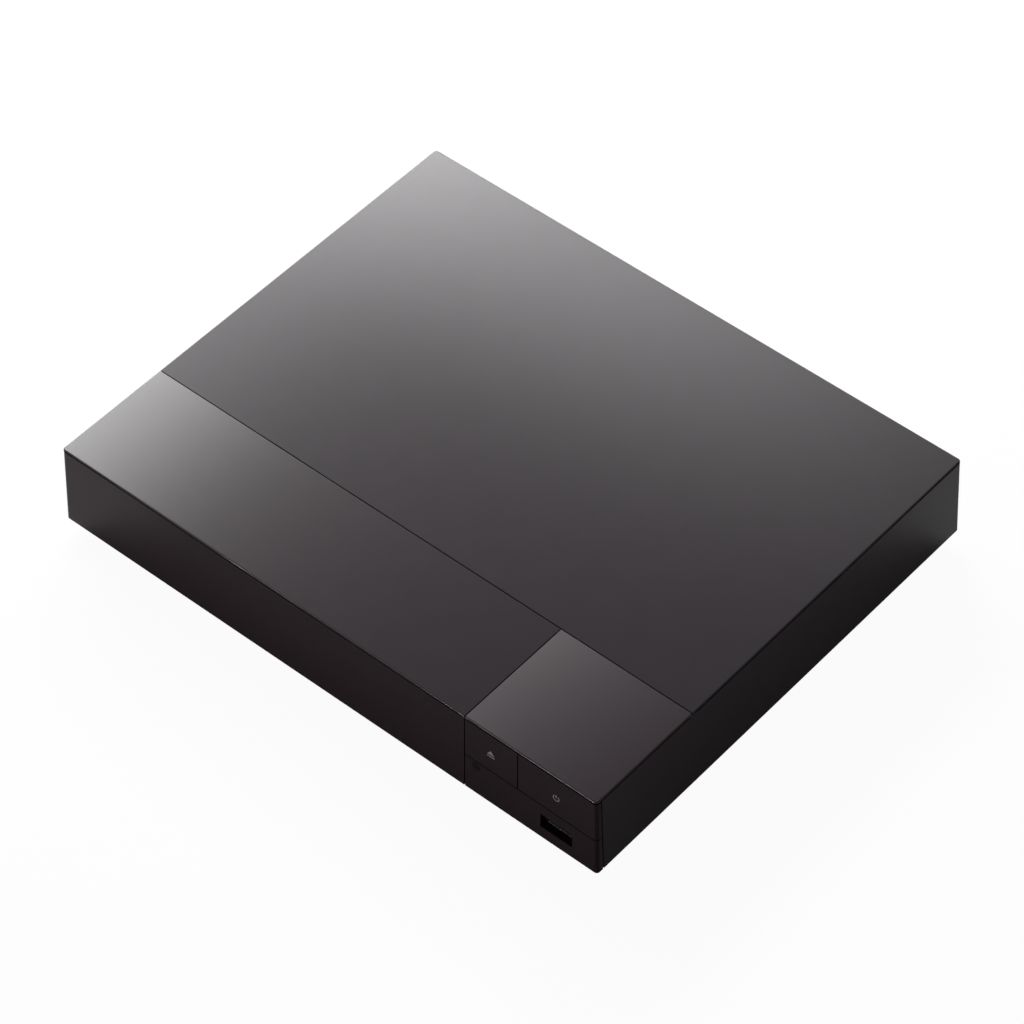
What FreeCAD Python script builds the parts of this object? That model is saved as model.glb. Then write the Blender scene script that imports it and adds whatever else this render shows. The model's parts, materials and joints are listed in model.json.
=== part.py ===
import FreeCAD, Part
import math
import os

# Compact blu-ray player in millimetres. +X is to the right of someone facing the front, the front
# faces -Y and +Z is up. The origin is under the middle of the overall box, on the supporting surface.

# Casing: draft of the walls, thicknesses and what stands under and behind it
SIDE_DRAFT = 1.2
END_DRAFT = 0.75
FOOT_HEIGHT = 3.0
PAN_DROP = 2.4
JACK_REACH = 7.0
CORNER_RADIUS = 1.2
PLATE_EDGE_RADIUS = 0.4
WALL = 2.2
DECK = 2.0
PLATE = 0.8
SHADOW_GROOVE = 0.3
SHEET = 0.8
SEAM = 0.4
FIT_GAP = 0.2
RUN_GAP = 0.3

# Room left round the loader inside the casing
LEFT_SPACE = 14.0
REAR_SPACE = 14.0
BOARD_GAP = 6.0
DISC_TO_CEILING = 8.7
LOADER_TO_DISC = 21.0

# Front skin: the pieces that make the outer front
SKIN = 2.8
SKIN_GAP = 0.9
FRAME_THICK = 2.0
BLOCK_WIDTH = 54.4
STRIP_DEPTH = 46.4
KEY_SEAM_HEIGHT = 15.5
EJECT_WIDTH = 21.7
KEY_TRAVEL = 0.3
CASE_GAP = 0.5
KEY_POST = 3.0
KEY_ICON_HEIGHT = 23.6
POWER_POST_FROM_RIGHT = 17.1
KEY_ARM_WIDTH = 3.0
KEY_ARM_THICK = 1.2
KEY_ARM_INSET = 3.0
KEY_BARB = 0.6
KEY_BARB_LENGTH = 1.2
FASCIA_LUG = (3.0, 2.0)
LUG_FROM_EDGE = 3.0
LUG_PITCH = 9.0
USB_FROM_RIGHT = 16.8
USB_HEIGHT = 8.0
USB_OPENING = (12.9, 6.2)
USB_SHELL = (13.1, 5.7)
USB_SHEET = 0.3
USB_MOUTH_GAP = 0.1
USB_TONGUE = (11.0, 1.8, 9.0)
USB_TONGUE_RISE = 1.0
WINDOW_FROM_BLOCK = 4.8
WINDOW_HEIGHT = 13.0
WINDOW_RADIUS = 1.6

# Base pan, its standoffs and the feet
PAN_INSET = 6.0
PAN_CORNER = 4.0
FOOT_RADIUS = 8.0
FOOT_FROM_SIDE = 20.0
FOOT_FROM_END = 18.0
STANDOFF_RADIUS = 3.6
LOADER_STANDOFF = 2.7
BOARD_STANDOFF = 5.2
CASE_BOSS_RADIUS = 3.0
CASE_BOSS_FROM_WALL = 3.4
CASE_BOSS_FROM_END = 34.0
VENT_SLOT = (2.0, 14.0)
VENT_PITCH = 4.5
VENT_ROWS = 2
VENT_COLUMNS = 9
PANEL_VENT_COLUMNS = 18
PANEL_VENT_RISE = 4.0
PANEL_VENT_HEIGHT = 9.0
PANEL_VENT_PITCH = 13.0

# Screws
SCREW_RADIUS = 1.3
SCREW_LENGTH = 6.0
HEAD_RADIUS = 2.4
HEAD_HEIGHT = 1.3
CROSS_WIDTH = 0.6
CROSS_DEPTH = 0.6
PILOT_GAP = 0.03
SCREW_CLEARANCE = 0.3

# Disc and tray
DISC_RADIUS = 60.0
DISC_THICK = 1.2
SMALL_DISC_RADIUS = 40.0
DISC_GAP = 0.5
TRAY_SIDE_RIM = 3.5
TRAY_FRONT_RIM = 6.5
TRAY_TAIL = 31.5
TRAY_FLOOR = 1.6
TRAY_RIM = 2.4
TRAY_FLANGE = 4.7
TRAY_FACE_LUG = 2.0
TRAY_FACE_THICK = 2.2
TRAY_FACE_BELOW = 5.2
TRAY_FACE_ABOVE = 7.0
TRAY_CLEAR = 2.0
SLOT_HALF = 18.0
SMALL_RECESS = 0.8
NOTCH_RADIUS = 9.0

# Loader chassis round the tray
LOADER_WALL = 2.0
LOADER_FLOOR = 2.0
LOADER_BEHIND_FRAME = 0.8
LOADER_BEHIND_TRAY = 9.0
REAR_MEMBER = 18.0
LEDGE = 4.0
LEDGE_THICK = 2.0
HOOK = 3.4
HOOK_THICK = 1.4
HOOK_LENGTH = 10.0
HOOKS = 3
HOOK_FROM_FRONT = 16.8
HOOK_FROM_REAR = 26.8
LOADER_SCREW_INSET = 7.0

# Clamp over the disc
DISC_LIFT = 1.5
CLAMP_GAP = 0.2
CLAMPER_RADIUS = 16.0
CLAMPER_DISC = 2.0
CLAMPER_NECK_RADIUS = 10.0
CLAMPER_TOP_RADIUS = 15.0
CLAMPER_TOP = 1.2
BRIDGE_THICK = 1.2
BRIDGE_DEPTH = 40.0
BRIDGE_HOLE_RADIUS = 12.0
BRIDGE_LIFT = 0.9
BRIDGE_EDGE = 1.2
BRIDGE_BOSS_RADIUS = 2.8
BRIDGE_BOSS_OUT = 2.0
BRIDGE_SCREW_Y = 14.0
MAGNET_RADIUS = 8.0
MAGNET_BORE = 3.0
MAGNET_THICK = 2.0

# Turntable and spindle motor
HUB_RADIUS = 7.4
HUB_HEIGHT = 2.5
TURNTABLE_RADIUS = 15.0
TURNTABLE_THICK = 2.7
ROTOR_RADIUS = 12.0
ROTOR_HEIGHT = 4.7
STATOR_RADIUS = 12.5
SPINDLE_RADIUS = 1.0

# Traverse frame, its pivot and front pins
TRAVERSE_HALF_WIDTH = 42.0
TRAVERSE_DROP = 10.0
TRAVERSE_PLATE = 2.0
TRAVERSE_SKIRT = 2.0
TRAVERSE_WALL = 2.0
TRAVERSE_BEHIND = 81.0
TRAVERSE_ROOM = 5.0
PIVOT_FROM_REAR = 2.4
PIVOT_RADIUS = 1.6
BUSH_WALL = 1.2
BUSH_GAP = 0.05
BRACKET_THICK = 3.0
BRACKET_HALF = 3.9
LIFT_PIN_RADIUS = 1.5
LIFT_PIN_X = 22.0
LIFT_PIN_RISE = 3.5
LIFT_PIN_LENGTH = 7.6
TILT_DEG = 4.0

# Cam slider
CAM_TRAVEL = 18.0
CAM_THICK = 3.0
CAM_FROM_TRAVERSE = 4.0
CAM_FROM_PULLEY = 3.0
CAM_PIN_GAP = 0.4
CAM_MARGIN = 2.1
CAM_GUIDE = 1.3
CAM_GUIDE_HEIGHT = 3.0
CAM_GUIDE_LENGTH = 8.0
CAM_GUIDE_PITCH = 34.0

# Pickup, rods and sled drive
LENS_START = 24.0
SLED_TRAVEL = 34.0
SLED_HALF_WIDTH = 28.0
SLED_HALF_LENGTH = 11.0
SLED_HEIGHT = 6.0
SLED_TOP = (26.0, 18.0, 2.4)
ROD_RADIUS = 1.5
ROD_X = 24.0
ROD_DROP = 7.5
ROD_GAP = 0.06
ROD_HOLDER = 3.0
HOLDER_SIZE = 12.0
HOLDER_HEIGHT = 3.6
HOLDER_GAP = 0.6
LENS_RADIUS = 2.5
LENS_RISE = 0.7
LENS_WALL = 1.2
LENS_CLEAR = 1.1
SCREW_AXIS_X = 34.0
SCREW_AXIS_DROP = 0.8
LEAD_RADIUS = 1.5
LEAD_PITCH = 3.0
SLED_MOTOR_RADIUS = 4.5
SLED_MOTOR_LENGTH = 16.0
NUT_WALL = 1.4

# Tray drive: gears, pulleys, belt and motor
TRAY_MODULE = 1.0
TRAIN_MODULE = 0.8
PINION_TEETH = 20
WHEEL_TEETH = 30
IDLER_TEETH = 20
BELT_PINION_TEETH = 12
BACKLASH = 0.24
PRESSURE_DEG = 20.0
ADDENDUM = 0.95
DEDENDUM = 1.25
FLANK_STEPS = 5
RACK_INSET = 16.0
RACK_BODY = 3.65
RACK_HEIGHT = 5.6
RACK_SPARE_TEETH = 3
GEARS_FROM_FRAME = 15.3
GEAR_FACE = 3.5
GEAR_PAD = 1.5
POST_RADIUS = 1.5
POST_GAP = 0.05
PULLEY_RADIUS = 12.0
MOTOR_PULLEY_RADIUS = 3.6
PULLEY_THICK = 3.6
GROOVE_DEPTH = 1.0
GROOVE_WIDTH = 1.8
BELT_SIZE = 1.2
PULLEY_DISTANCE = 32.0
MOTOR_RADIUS = 10.0
MOTOR_SHAFT_RADIUS = 1.0
MOTOR_RING_WALL = 1.8
MOTOR_GAP = 0.1

# Main board and what stands on it
BOARD_THICK = 1.6
BOARD_FROM_RIGHT = 11.0
BOARD_WIDTH = 57.0
BOARD_LENGTH = 128.0
BOARD_FROM_REAR = 3.4
BOARD_SCREW_INSET = 4.0
HEATSINK = (26.0, 26.0)
HEATSINK_FROM_FRONT = 57.6
HEATSINK_BASE = 1.6
HEATSINK_FIN = (1.2, 6.4)
HEATSINK_FINS = 7
CHIP_HEIGHT = 1.2
CHIP_SHARE = 0.8
MEMORY_CHIP = (9.0, 13.0, 1.2)
MEMORY_SPREAD = 9.5
DRIVER_CHIP = (8.0, 8.0, 1.2)
POWER_COIL = (10.0, 10.0, 3.0)
POWER_SPREAD = 14.25
SMALL_COIL = (4.0, 4.0, 2.0)
SMALL_COILS = 4
SMALL_COIL_PITCH = 6.0
SMALL_COIL_ROW = 13.0
CAPACITOR_RADIUS = 3.2
CAPACITOR_HEIGHT = 9.0
CAPACITORS = 4
CAPACITOR_GAP = 1.5
CAPACITOR_NECK = (1.2, 0.6, 0.3)

# Rear panel and its sockets, from the right-hand end of the board
PANEL_THICK = 1.2
PANEL_RECESS = 0.8
DC_X = 6.5
DC_SIZE = (9.0, 14.0, 11.0)
DC_BORE = 3.1
DC_DEPTH = 9.5
DC_PIN = 1.0
LAN_X = 22.0
LAN_SIZE = (16.0, 21.0, 13.4)
LAN_OPENING = (11.8, 8.2)
LAN_DEPTH = 14.0
LATCH_NOTCH = (6.2, 2.0)
HDMI_X = 39.5
HDMI_SIZE = (15.0, 12.0, 6.0)
HDMI_SHEET = 0.5
HDMI_TONGUE = (11.5, 1.2)
COAX_X = 52.2
COAX_SIZE = (9.0, 10.0, 12.0)
COAX_RADIUS = 4.15
COAX_WALL = 0.8
COAX_BORE = 1.6
COAX_RECESS = 0.6
CUTOUT_GAP = 0.4
SOCKET_BACK = 1.0
COAX_HOLE_GAP = 1.0

# Front board, its switches and the flat cables
FRONT_BOARD_BEHIND = 11.3
FRONT_BOARD_ROOM = 1.0
SWITCH_SIZE = 6.0
SWITCH_HEIGHT = 3.4
PLUNGER_RADIUS = 1.7
PLUNGER_REACH = 1.2
PLUNGER_IN = 1.6
RECEIVER = (5.0, 5.0)
RECEIVER_REACH = 1.0
RECEIVER_EYE = 0.8
CABLE_THICK = 0.3
CABLE_WIDTH = 14.0
CABLE_PLUG = (17.0, 3.0, 2.4)
FLEX_WIDTH = 12.0
FLEX_RUN = 38.0
FLEX_PLUG_HEIGHT = 2.4
FLEX_PLUG_EDGE = 1.0

# Sizes of the casing, tray and loader that follow from the disc, the board and the room between them
DISC_FROM_FRONT = SKIN + TRAY_FACE_THICK + TRAY_FRONT_RIM + DISC_GAP + DISC_RADIUS
TRAY_HALF_WIDTH = DISC_RADIUS + DISC_GAP + TRAY_SIDE_RIM
TRAY_LENGTH_BEHIND = DISC_RADIUS + DISC_GAP + TRAY_TAIL
TRAY_TRAVEL = DISC_FROM_FRONT + DISC_RADIUS + TRAY_CLEAR
LOADER_HALF_WIDTH = TRAY_HALF_WIDTH + TRAY_FLANGE + RUN_GAP + LOADER_WALL
BODY_WIDTH = LEFT_SPACE + 2 * LOADER_HALF_WIDTH + BOARD_GAP + BOARD_WIDTH + BOARD_FROM_RIGHT
BODY_DEPTH = DISC_FROM_FRONT + TRAY_LENGTH_BEHIND + LOADER_BEHIND_TRAY + REAR_SPACE
BODY_HEIGHT = SHEET + LOADER_STANDOFF + LOADER_TO_DISC + DISC_TO_CEILING + DECK + PLATE - PAN_DROP

# Levels and edges that follow from the sizes above
OVERALL_DEPTH = BODY_DEPTH + JACK_REACH
Y_FRONT = -OVERALL_DEPTH / 2
Y_REAR = Y_FRONT + BODY_DEPTH
Z_BODY = FOOT_HEIGHT + PAN_DROP
Z_TOP = Z_BODY + BODY_HEIGHT
Z_DECK = Z_TOP - PLATE
Z_CEILING = Z_DECK - DECK
Z_PAN = FOOT_HEIGHT + SHEET
Z_RIM = Z_BODY + SHEET
Y_SKIN = Y_FRONT + SKIN
Y_FRAME = Y_SKIN + SKIN_GAP
Y_FRAME_BACK = Y_FRAME + FRAME_THICK
Y_PANEL = Y_REAR - PANEL_RECESS - PANEL_THICK
X_RIGHT = BODY_WIDTH / 2
X_BLOCK = X_RIGHT - BLOCK_WIDTH
X_KEYS = X_BLOCK + EJECT_WIDTH
Y_STRIP = Y_FRONT + END_DRAFT + STRIP_DEPTH
Z_KEYS = Z_BODY + KEY_SEAM_HEIGHT
X_DISC = -X_RIGHT + LEFT_SPACE + LOADER_HALF_WIDTH
Y_DISC = Y_FRONT + DISC_FROM_FRONT
Z_DISC = Z_CEILING - DISC_TO_CEILING
Z_TRAY = Z_DISC - DISC_LIFT - TRAY_FLOOR
Z_TRAY_TOP = Z_TRAY + TRAY_FLOOR + TRAY_RIM
Z_LOADER = Z_PAN + LOADER_STANDOFF
Z_LOADER_FLOOR = Z_LOADER + LOADER_FLOOR
Y_LOADER = Y_FRAME_BACK + LOADER_BEHIND_FRAME
Y_LOADER_REAR = Y_DISC + TRAY_LENGTH_BEHIND + LOADER_BEHIND_TRAY
Z_BOARD = Z_PAN + BOARD_STANDOFF
Z_BOARD_TOP = Z_BOARD + BOARD_THICK
X_BOARD_END = X_RIGHT - BOARD_FROM_RIGHT
X_BOARD = X_BOARD_END - BOARD_WIDTH
Y_BOARD_END = Y_PANEL - BOARD_FROM_REAR + PANEL_THICK
Y_BOARD = Y_BOARD_END - BOARD_LENGTH
Z_ROD = Z_DISC - ROD_DROP
Z_TRAVERSE = Z_DISC - TRAVERSE_DROP
Y_GEARS = Y_FRAME_BACK + GEARS_FROM_FRAME
Y_CAM = Y_GEARS + PULLEY_RADIUS + CAM_FROM_PULLEY
Y_TRAVERSE = Y_CAM + CAM_THICK + CAM_FROM_TRAVERSE
Y_TRAVERSE_REAR = Y_DISC + TRAVERSE_BEHIND
Y_PIVOT = Y_TRAVERSE_REAR - PIVOT_FROM_REAR
Z_PIVOT = Z_TRAVERSE - TRAVERSE_PLATE - TRAVERSE_SKIRT / 2
Z_LIFT_PIN = Z_TRAVERSE + LIFT_PIN_RISE - TRAVERSE_PLATE
PIN_DROP = (Y_PIVOT - Y_CAM) * math.sin(math.radians(TILT_DEG))
X_RACK = X_DISC - TRAY_HALF_WIDTH + RACK_INSET
PINION_PITCH_RADIUS = TRAY_MODULE * PINION_TEETH / 2
X_DRIVE = X_RACK + PINION_PITCH_RADIUS
X_IDLER = X_DRIVE + TRAIN_MODULE * (WHEEL_TEETH + IDLER_TEETH) / 2
X_BELT_GEAR = X_IDLER + TRAIN_MODULE * (IDLER_TEETH + BELT_PINION_TEETH) / 2
X_MOTOR = X_BELT_GEAR + PULLEY_DISTANCE
Z_GEARS = Z_LOADER_FLOOR + GEAR_PAD
Z_PULLEY = Z_GEARS + GEAR_FACE + 2 * GEAR_PAD
Z_RACK = Z_TRAY - RACK_HEIGHT
Y_FRONT_BOARD = Y_FRAME_BACK + FRONT_BOARD_BEHIND
Y_LENS = Y_DISC + LENS_START
BIG = 2 * BODY_WIDTH


def vector(x, y, z):
    return FreeCAD.Vector(x, y, z)


def box(low, high):
    size = [b - a for a, b in zip(low, high)]
    return Part.makeBox(size[0], size[1], size[2], vector(*low))


def block(x, y, z):
    """A box from three pairs of limits."""
    return box((x[0], y[0], z[0]), (x[1], y[1], z[1]))


def centred(middle, half):
    return (middle - half, middle + half)


def rod(start, axis, length, radius):
    return Part.makeCylinder(radius, length, vector(*start), vector(*axis))


def post(x, y, z0, z1, radius):
    return rod((x, y, z0), (0, 0, 1), z1 - z0, radius)


def join(shapes):
    return shapes[0].multiFuse(shapes[1:]).removeSplitter()


def group(shapes):
    return Part.makeCompound(shapes)


def prism(points, z0, z1):
    """A flat outline in X and Y, raised from z0 to z1."""
    wire = Part.makePolygon([vector(x, y, z0) for x, y in points + points[:1]])
    return Part.Face(wire).extrude(vector(0, 0, z1 - z0))


def save(name, shape):
    shape.exportStep("parts/" + name + ".step")


def draft_at(z, draft):
    return draft * (z - Z_BODY) / BODY_HEIGHT


def inner_half(z, inset):
    return X_RIGHT - draft_at(z, SIDE_DRAFT) - inset


def hull(z0, z1, side=0.0, front=0.0, rear=0.0, radius=0.0):
    """The casing's drafted form between two levels, with its walls drawn in by the given insets."""
    wires = []
    for z in (z0, z1):
        x = inner_half(z, side)
        y0 = Y_FRONT + draft_at(z, END_DRAFT) + front
        y1 = Y_REAR - draft_at(z, END_DRAFT) - rear
        corners = [(-x, y0), (x, y0), (x, y1), (-x, y1), (-x, y0)]
        wires.append(Part.makePolygon([vector(a, b, z) for a, b in corners]))
    solid = Part.makeLoft(wires, True, True)
    if radius:
        solid = solid.makeFillet(radius, upright_edges(solid))
    return solid


def upright_edges(solid):
    return [e for e in solid.Edges if abs(e.Vertexes[0].Z - e.Vertexes[-1].Z) > CORNER_RADIUS / 2]


def screw(x, y, z, up=1, length=SCREW_LENGTH):
    """A cross-head screw whose head seats at z. With up=1 the head is above its seat."""
    head = rod((x, y, z), (0, 0, up), HEAD_HEIGHT, HEAD_RADIUS)
    shank = rod((x, y, z), (0, 0, -up), length, SCREW_RADIUS)
    top = z + up * HEAD_HEIGHT
    levels = sorted((top - up * CROSS_DEPTH, top))
    arms = [block(centred(x, CROSS_WIDTH / 2), centred(y, HEAD_RADIUS / 2), levels),
            block(centred(x, HEAD_RADIUS / 2), centred(y, CROSS_WIDTH / 2), levels)]
    return join([head, shank]).cut(join(arms))


def involute(angle):
    return math.tan(angle) - angle


def gear_outline(x, y, teeth, module, tooth_at):
    """Corner points of an involute gear with one tooth centred at the angle tooth_at."""
    pressure = math.radians(PRESSURE_DEG)
    pitch = module * teeth / 2
    base = pitch * math.cos(pressure)
    tip, root = pitch + ADDENDUM * module, pitch - DEDENDUM * module
    half_tooth = math.pi / (2 * teeth) - BACKLASH / (2 * pitch)
    flank = []
    start = max(base, root)
    for i in range(FLANK_STEPS + 1):
        radius = start + (tip - start) * i / FLANK_STEPS
        half = half_tooth + involute(pressure) - involute(math.acos(min(1.0, base / radius)))
        flank.append((radius, half))
    if root < base:
        flank.insert(0, (root, flank[0][1]))
    points = []
    for tooth in range(teeth):
        middle = tooth_at + 2 * math.pi * tooth / teeth
        sides = [(r, middle - h) for r, h in flank] + [(r, middle + h) for r, h in reversed(flank)]
        points += [(x + r * math.cos(a), y + r * math.sin(a)) for r, a in sides]
    return points


def grooved_pulley(x, y, z, radius, bore):
    """A pulley with a square groove for the belt, standing on z."""
    body = post(x, y, z, z + PULLEY_THICK, radius)
    z0 = z + (PULLEY_THICK - GROOVE_WIDTH) / 2
    ring = post(x, y, z0, z0 + GROOVE_WIDTH, radius + GROOVE_DEPTH)
    ring = ring.cut(post(x, y, z0, z0 + GROOVE_WIDTH, radius - GROOVE_DEPTH))
    return body.cut(ring).cut(post(x, y, z, z + PULLEY_THICK, bore))


def case_boss_places():
    x = inner_half(Z_RIM, WALL) - CASE_BOSS_FROM_WALL
    ends = (Y_FRONT + CASE_BOSS_FROM_END, Y_REAR - CASE_BOSS_FROM_END / 2)
    return [(side * x, y) for side in (-1, 1) for y in ends]


def upper_case():
    shell = hull(Z_BODY, Z_DECK, radius=CORNER_RADIUS)
    shell = shell.cut(hull(Z_BODY - DECK, Z_CEILING, side=WALL, front=-WALL, rear=-WALL))
    shell = shell.cut(block((-BIG, BIG), (-BIG, Y_SKIN + CASE_GAP), (0, Z_TOP)))
    groove = hull(Z_DECK - SHADOW_GROOVE, Z_DECK, front=-WALL)
    groove = groove.cut(hull(Z_DECK - SHADOW_GROOVE, Z_DECK, side=SHADOW_GROOVE, rear=SHADOW_GROOVE,
                             front=-2 * WALL))
    pieces = [shell.cut(groove)]
    for x, y in case_boss_places():
        outer = post(x, y, Z_RIM, Z_CEILING, CASE_BOSS_RADIUS)
        rib_x = sorted((x, math.copysign(inner_half(Z_CEILING, WALL), x)))
        rib = block(rib_x, centred(y, FIT_GAP * 3), (Z_RIM + CASE_BOSS_RADIUS, Z_CEILING))
        pieces += [outer, rib]
    holes = [post(x, y, Z_RIM, Z_RIM + SCREW_LENGTH + FIT_GAP, SCREW_RADIUS + PILOT_GAP)
             for x, y in case_boss_places()]
    return join(pieces).cut(join(holes))


def plate(x, y):
    """A top plate between the limits, with its outer edges softened."""
    whole = hull(Z_DECK, Z_TOP, radius=CORNER_RADIUS)
    edges = [e for e in whole.Edges if min(v.Z for v in e.Vertexes) > Z_TOP - PLATE / 2]
    whole = whole.makeFillet(PLATE_EDGE_RADIUS, edges)
    return whole.common(block(x, y, (Z_DECK, Z_TOP)))


def top_panel():
    return plate((-BIG, BIG), (Y_STRIP + SEAM / 2, BIG))


def front_top_strip():
    return plate((-BIG, X_BLOCK - SEAM / 2), (-BIG, Y_STRIP - SEAM / 2))


def corner_block_plate():
    return plate((X_BLOCK + SEAM / 2, BIG), (-BIG, Y_STRIP - SEAM / 2))


def front_skin(x, z):
    """A piece of the outer front between the limits, with the casing's draft and corners."""
    whole = hull(Z_BODY, Z_DECK, radius=CORNER_RADIUS)
    return whole.common(block(x, (-BIG, Y_SKIN), z))


def tray_door():
    return front_skin((-BIG, X_BLOCK - SEAM / 2), (Z_BODY, Z_DECK - SHADOW_GROOVE))


def key_arm_places(x0, x1):
    return [x0 + KEY_ARM_INSET, x1 - KEY_ARM_INSET]


def key_levels():
    return (Z_KEYS + SEAM / 2, Z_DECK - SHADOW_GROOVE)


def post_end():
    """Where a key's post meets the plunger of its switch."""
    return Y_FRONT_BOARD - SWITCH_HEIGHT - PLUNGER_REACH


def key(x0, x1, post_x, arms):
    z0, z1 = key_levels()
    post_z = Z_BODY + KEY_ICON_HEIGHT
    arm_z = centred(post_z, KEY_ARM_WIDTH / 2)
    arm_end = Y_FRAME_BACK + KEY_BARB_LENGTH + FIT_GAP
    pieces = [front_skin((x0, x1), (z0, z1)),
              block(centred(post_x, KEY_POST / 2), (Y_SKIN, post_end()), centred(post_z, KEY_POST / 2))]
    for x in arms:
        side = 1 if x > post_x else -1
        pieces.append(block(centred(x, KEY_ARM_THICK / 2), (Y_SKIN, arm_end), arm_z))
        barb = sorted((x, x + side * (KEY_ARM_THICK / 2 + KEY_BARB)))
        pieces.append(block(barb, (Y_FRAME_BACK + FIT_GAP, arm_end), arm_z))
    return join(pieces)


def eject_limits():
    return X_BLOCK + SEAM / 2, X_KEYS - SEAM / 2


def power_limits():
    return X_KEYS + SEAM / 2, BIG


def eject_post_x():
    return sum(eject_limits()) / 2


def power_post_x():
    return X_RIGHT - POWER_POST_FROM_RIGHT


def power_arms():
    return [X_KEYS + SEAM / 2 + KEY_ARM_INSET, X_RIGHT - WALL - 2 * KEY_ARM_INSET]


def eject_button():
    x0, x1 = eject_limits()
    return key(x0, x1, eject_post_x(), key_arm_places(x0, x1))


def power_button():
    x0, x1 = power_limits()
    return key(x0, x1, power_post_x(), power_arms())


def usb_centre():
    return X_RIGHT - USB_FROM_RIGHT, Z_BODY + USB_HEIGHT


def window_centre():
    return X_BLOCK + WINDOW_FROM_BLOCK, Z_BODY + WINDOW_HEIGHT


def usb_fascia():
    face = front_skin((X_BLOCK + SEAM / 2, BIG), (Z_BODY, Z_KEYS - SEAM / 2))
    x, z = usb_centre()
    opening = block(centred(x, USB_OPENING[0] / 2), (-BIG, 0), centred(z, USB_OPENING[1] / 2))
    wx, wz = window_centre()
    hole = rod((wx, Y_FRONT - SKIN, wz), (0, 1, 0), 2 * SKIN, WINDOW_RADIUS)
    lugs = [block(centred(lug, FASCIA_LUG[0] / 2), (Y_SKIN, Y_FRAME), centred(level, FASCIA_LUG[1] / 2))
            for lug in (wx + LUG_PITCH, x - USB_OPENING[0])
            for level in (Z_BODY + LUG_FROM_EDGE, Z_KEYS - LUG_FROM_EDGE)]
    return join([face] + lugs).cut(opening).cut(hole)


def remote_sensor_window():
    wx, wz = window_centre()
    face = Y_FRONT + draft_at(wz, END_DRAFT)
    return rod((wx, face + FIT_GAP, wz), (0, 1, 0), Y_SKIN - face - FIT_GAP, WINDOW_RADIUS)


def mouth():
    """The tray's way through the front frame."""
    x = centred(X_DISC, LOADER_HALF_WIDTH - LOADER_WALL / 2)
    z = (Z_TRAY - TRAY_FACE_BELOW - 4 * RUN_GAP, Z_TRAY_TOP + TRAY_FACE_ABOVE - TRAY_RIM)
    return block(x, (Y_SKIN, Y_LOADER), z)


def front_board_posts():
    """X and Z of the two bosses that carry the front board."""
    low = Z_BODY + KEY_SEAM_HEIGHT + BOARD_SCREW_INSET / 2
    return [(X_BLOCK + BOARD_SCREW_INSET * 4, low), (power_post_x() - 3 * BOARD_SCREW_INSET, low)]


def front_frame():
    z0, z1 = Z_RIM, Z_CEILING - FIT_GAP
    body = hull(z0, z1, side=WALL + FIT_GAP, front=-WALL, rear=-WALL)
    body = body.common(block((-BIG, BIG), (Y_FRAME, Y_FRAME_BACK), (z0, z1)))
    bosses = [rod((x, Y_FRAME, z), (0, 1, 0), Y_FRONT_BOARD - Y_FRAME, CASE_BOSS_RADIUS)
              for x, z in front_board_posts()]
    body = join([body] + bosses)
    cuts = [mouth()]
    post_z = Z_BODY + KEY_ICON_HEIGHT
    for x, arms in ((eject_post_x(), key_arm_places(*eject_limits())), (power_post_x(), power_arms())):
        half = KEY_POST / 2 + RUN_GAP
        cuts.append(block(centred(x, half), (Y_SKIN, Y_LOADER), centred(post_z, half)))
        for arm in arms:
            cuts.append(block(centred(arm, KEY_ARM_THICK / 2 + FIT_GAP), (Y_SKIN, Y_LOADER),
                              centred(post_z, KEY_ARM_WIDTH / 2 + FIT_GAP)))
    ux, uz = usb_centre()
    cuts.append(block(centred(ux, USB_SHELL[0] / 2 + FIT_GAP), (Y_SKIN, Y_LOADER),
                      centred(uz, USB_SHELL[1] / 2 + FIT_GAP)))
    wx, wz = window_centre()
    cuts.append(block(centred(wx, RECEIVER[0] / 2), (Y_SKIN, Y_LOADER), centred(wz, RECEIVER[1] / 2)))
    for x, z in front_board_posts():
        cuts.append(rod((x, Y_FRONT_BOARD - SCREW_LENGTH, z), (0, 1, 0), SCREW_LENGTH,
                        SCREW_RADIUS + PILOT_GAP))
    return body.cut(join(cuts))


def loader_screw_places():
    xs = centred(X_DISC, LOADER_HALF_WIDTH - LOADER_SCREW_INSET)
    ys = (Y_LOADER + LOADER_SCREW_INSET, Y_LOADER_REAR - LOADER_SCREW_INSET)
    return [(x, y) for x in xs for y in ys]


def board_screw_places():
    xs = (X_BOARD + BOARD_SCREW_INSET, X_BOARD_END - BOARD_SCREW_INSET)
    front = Y_BOARD + BOARD_SCREW_INSET
    rear = Y_BOARD_END - LAN_SIZE[1] - 2 * BOARD_SCREW_INSET
    return [(x, y) for x in xs for y in (front, rear)]


def vent_slots(x, y, rows, columns, z0, z1):
    """Slots that run along Y in rows and columns about a middle."""
    slots = []
    for row in range(rows):
        for column in range(columns):
            sx = x + (column - (columns - 1) / 2) * VENT_PITCH
            sy = y + (row - (rows - 1) / 2) * (VENT_SLOT[1] + VENT_PITCH)
            slots.append(block(centred(sx, VENT_SLOT[0] / 2), centred(sy, VENT_SLOT[1] / 2), (z0, z1)))
    return slots


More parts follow.
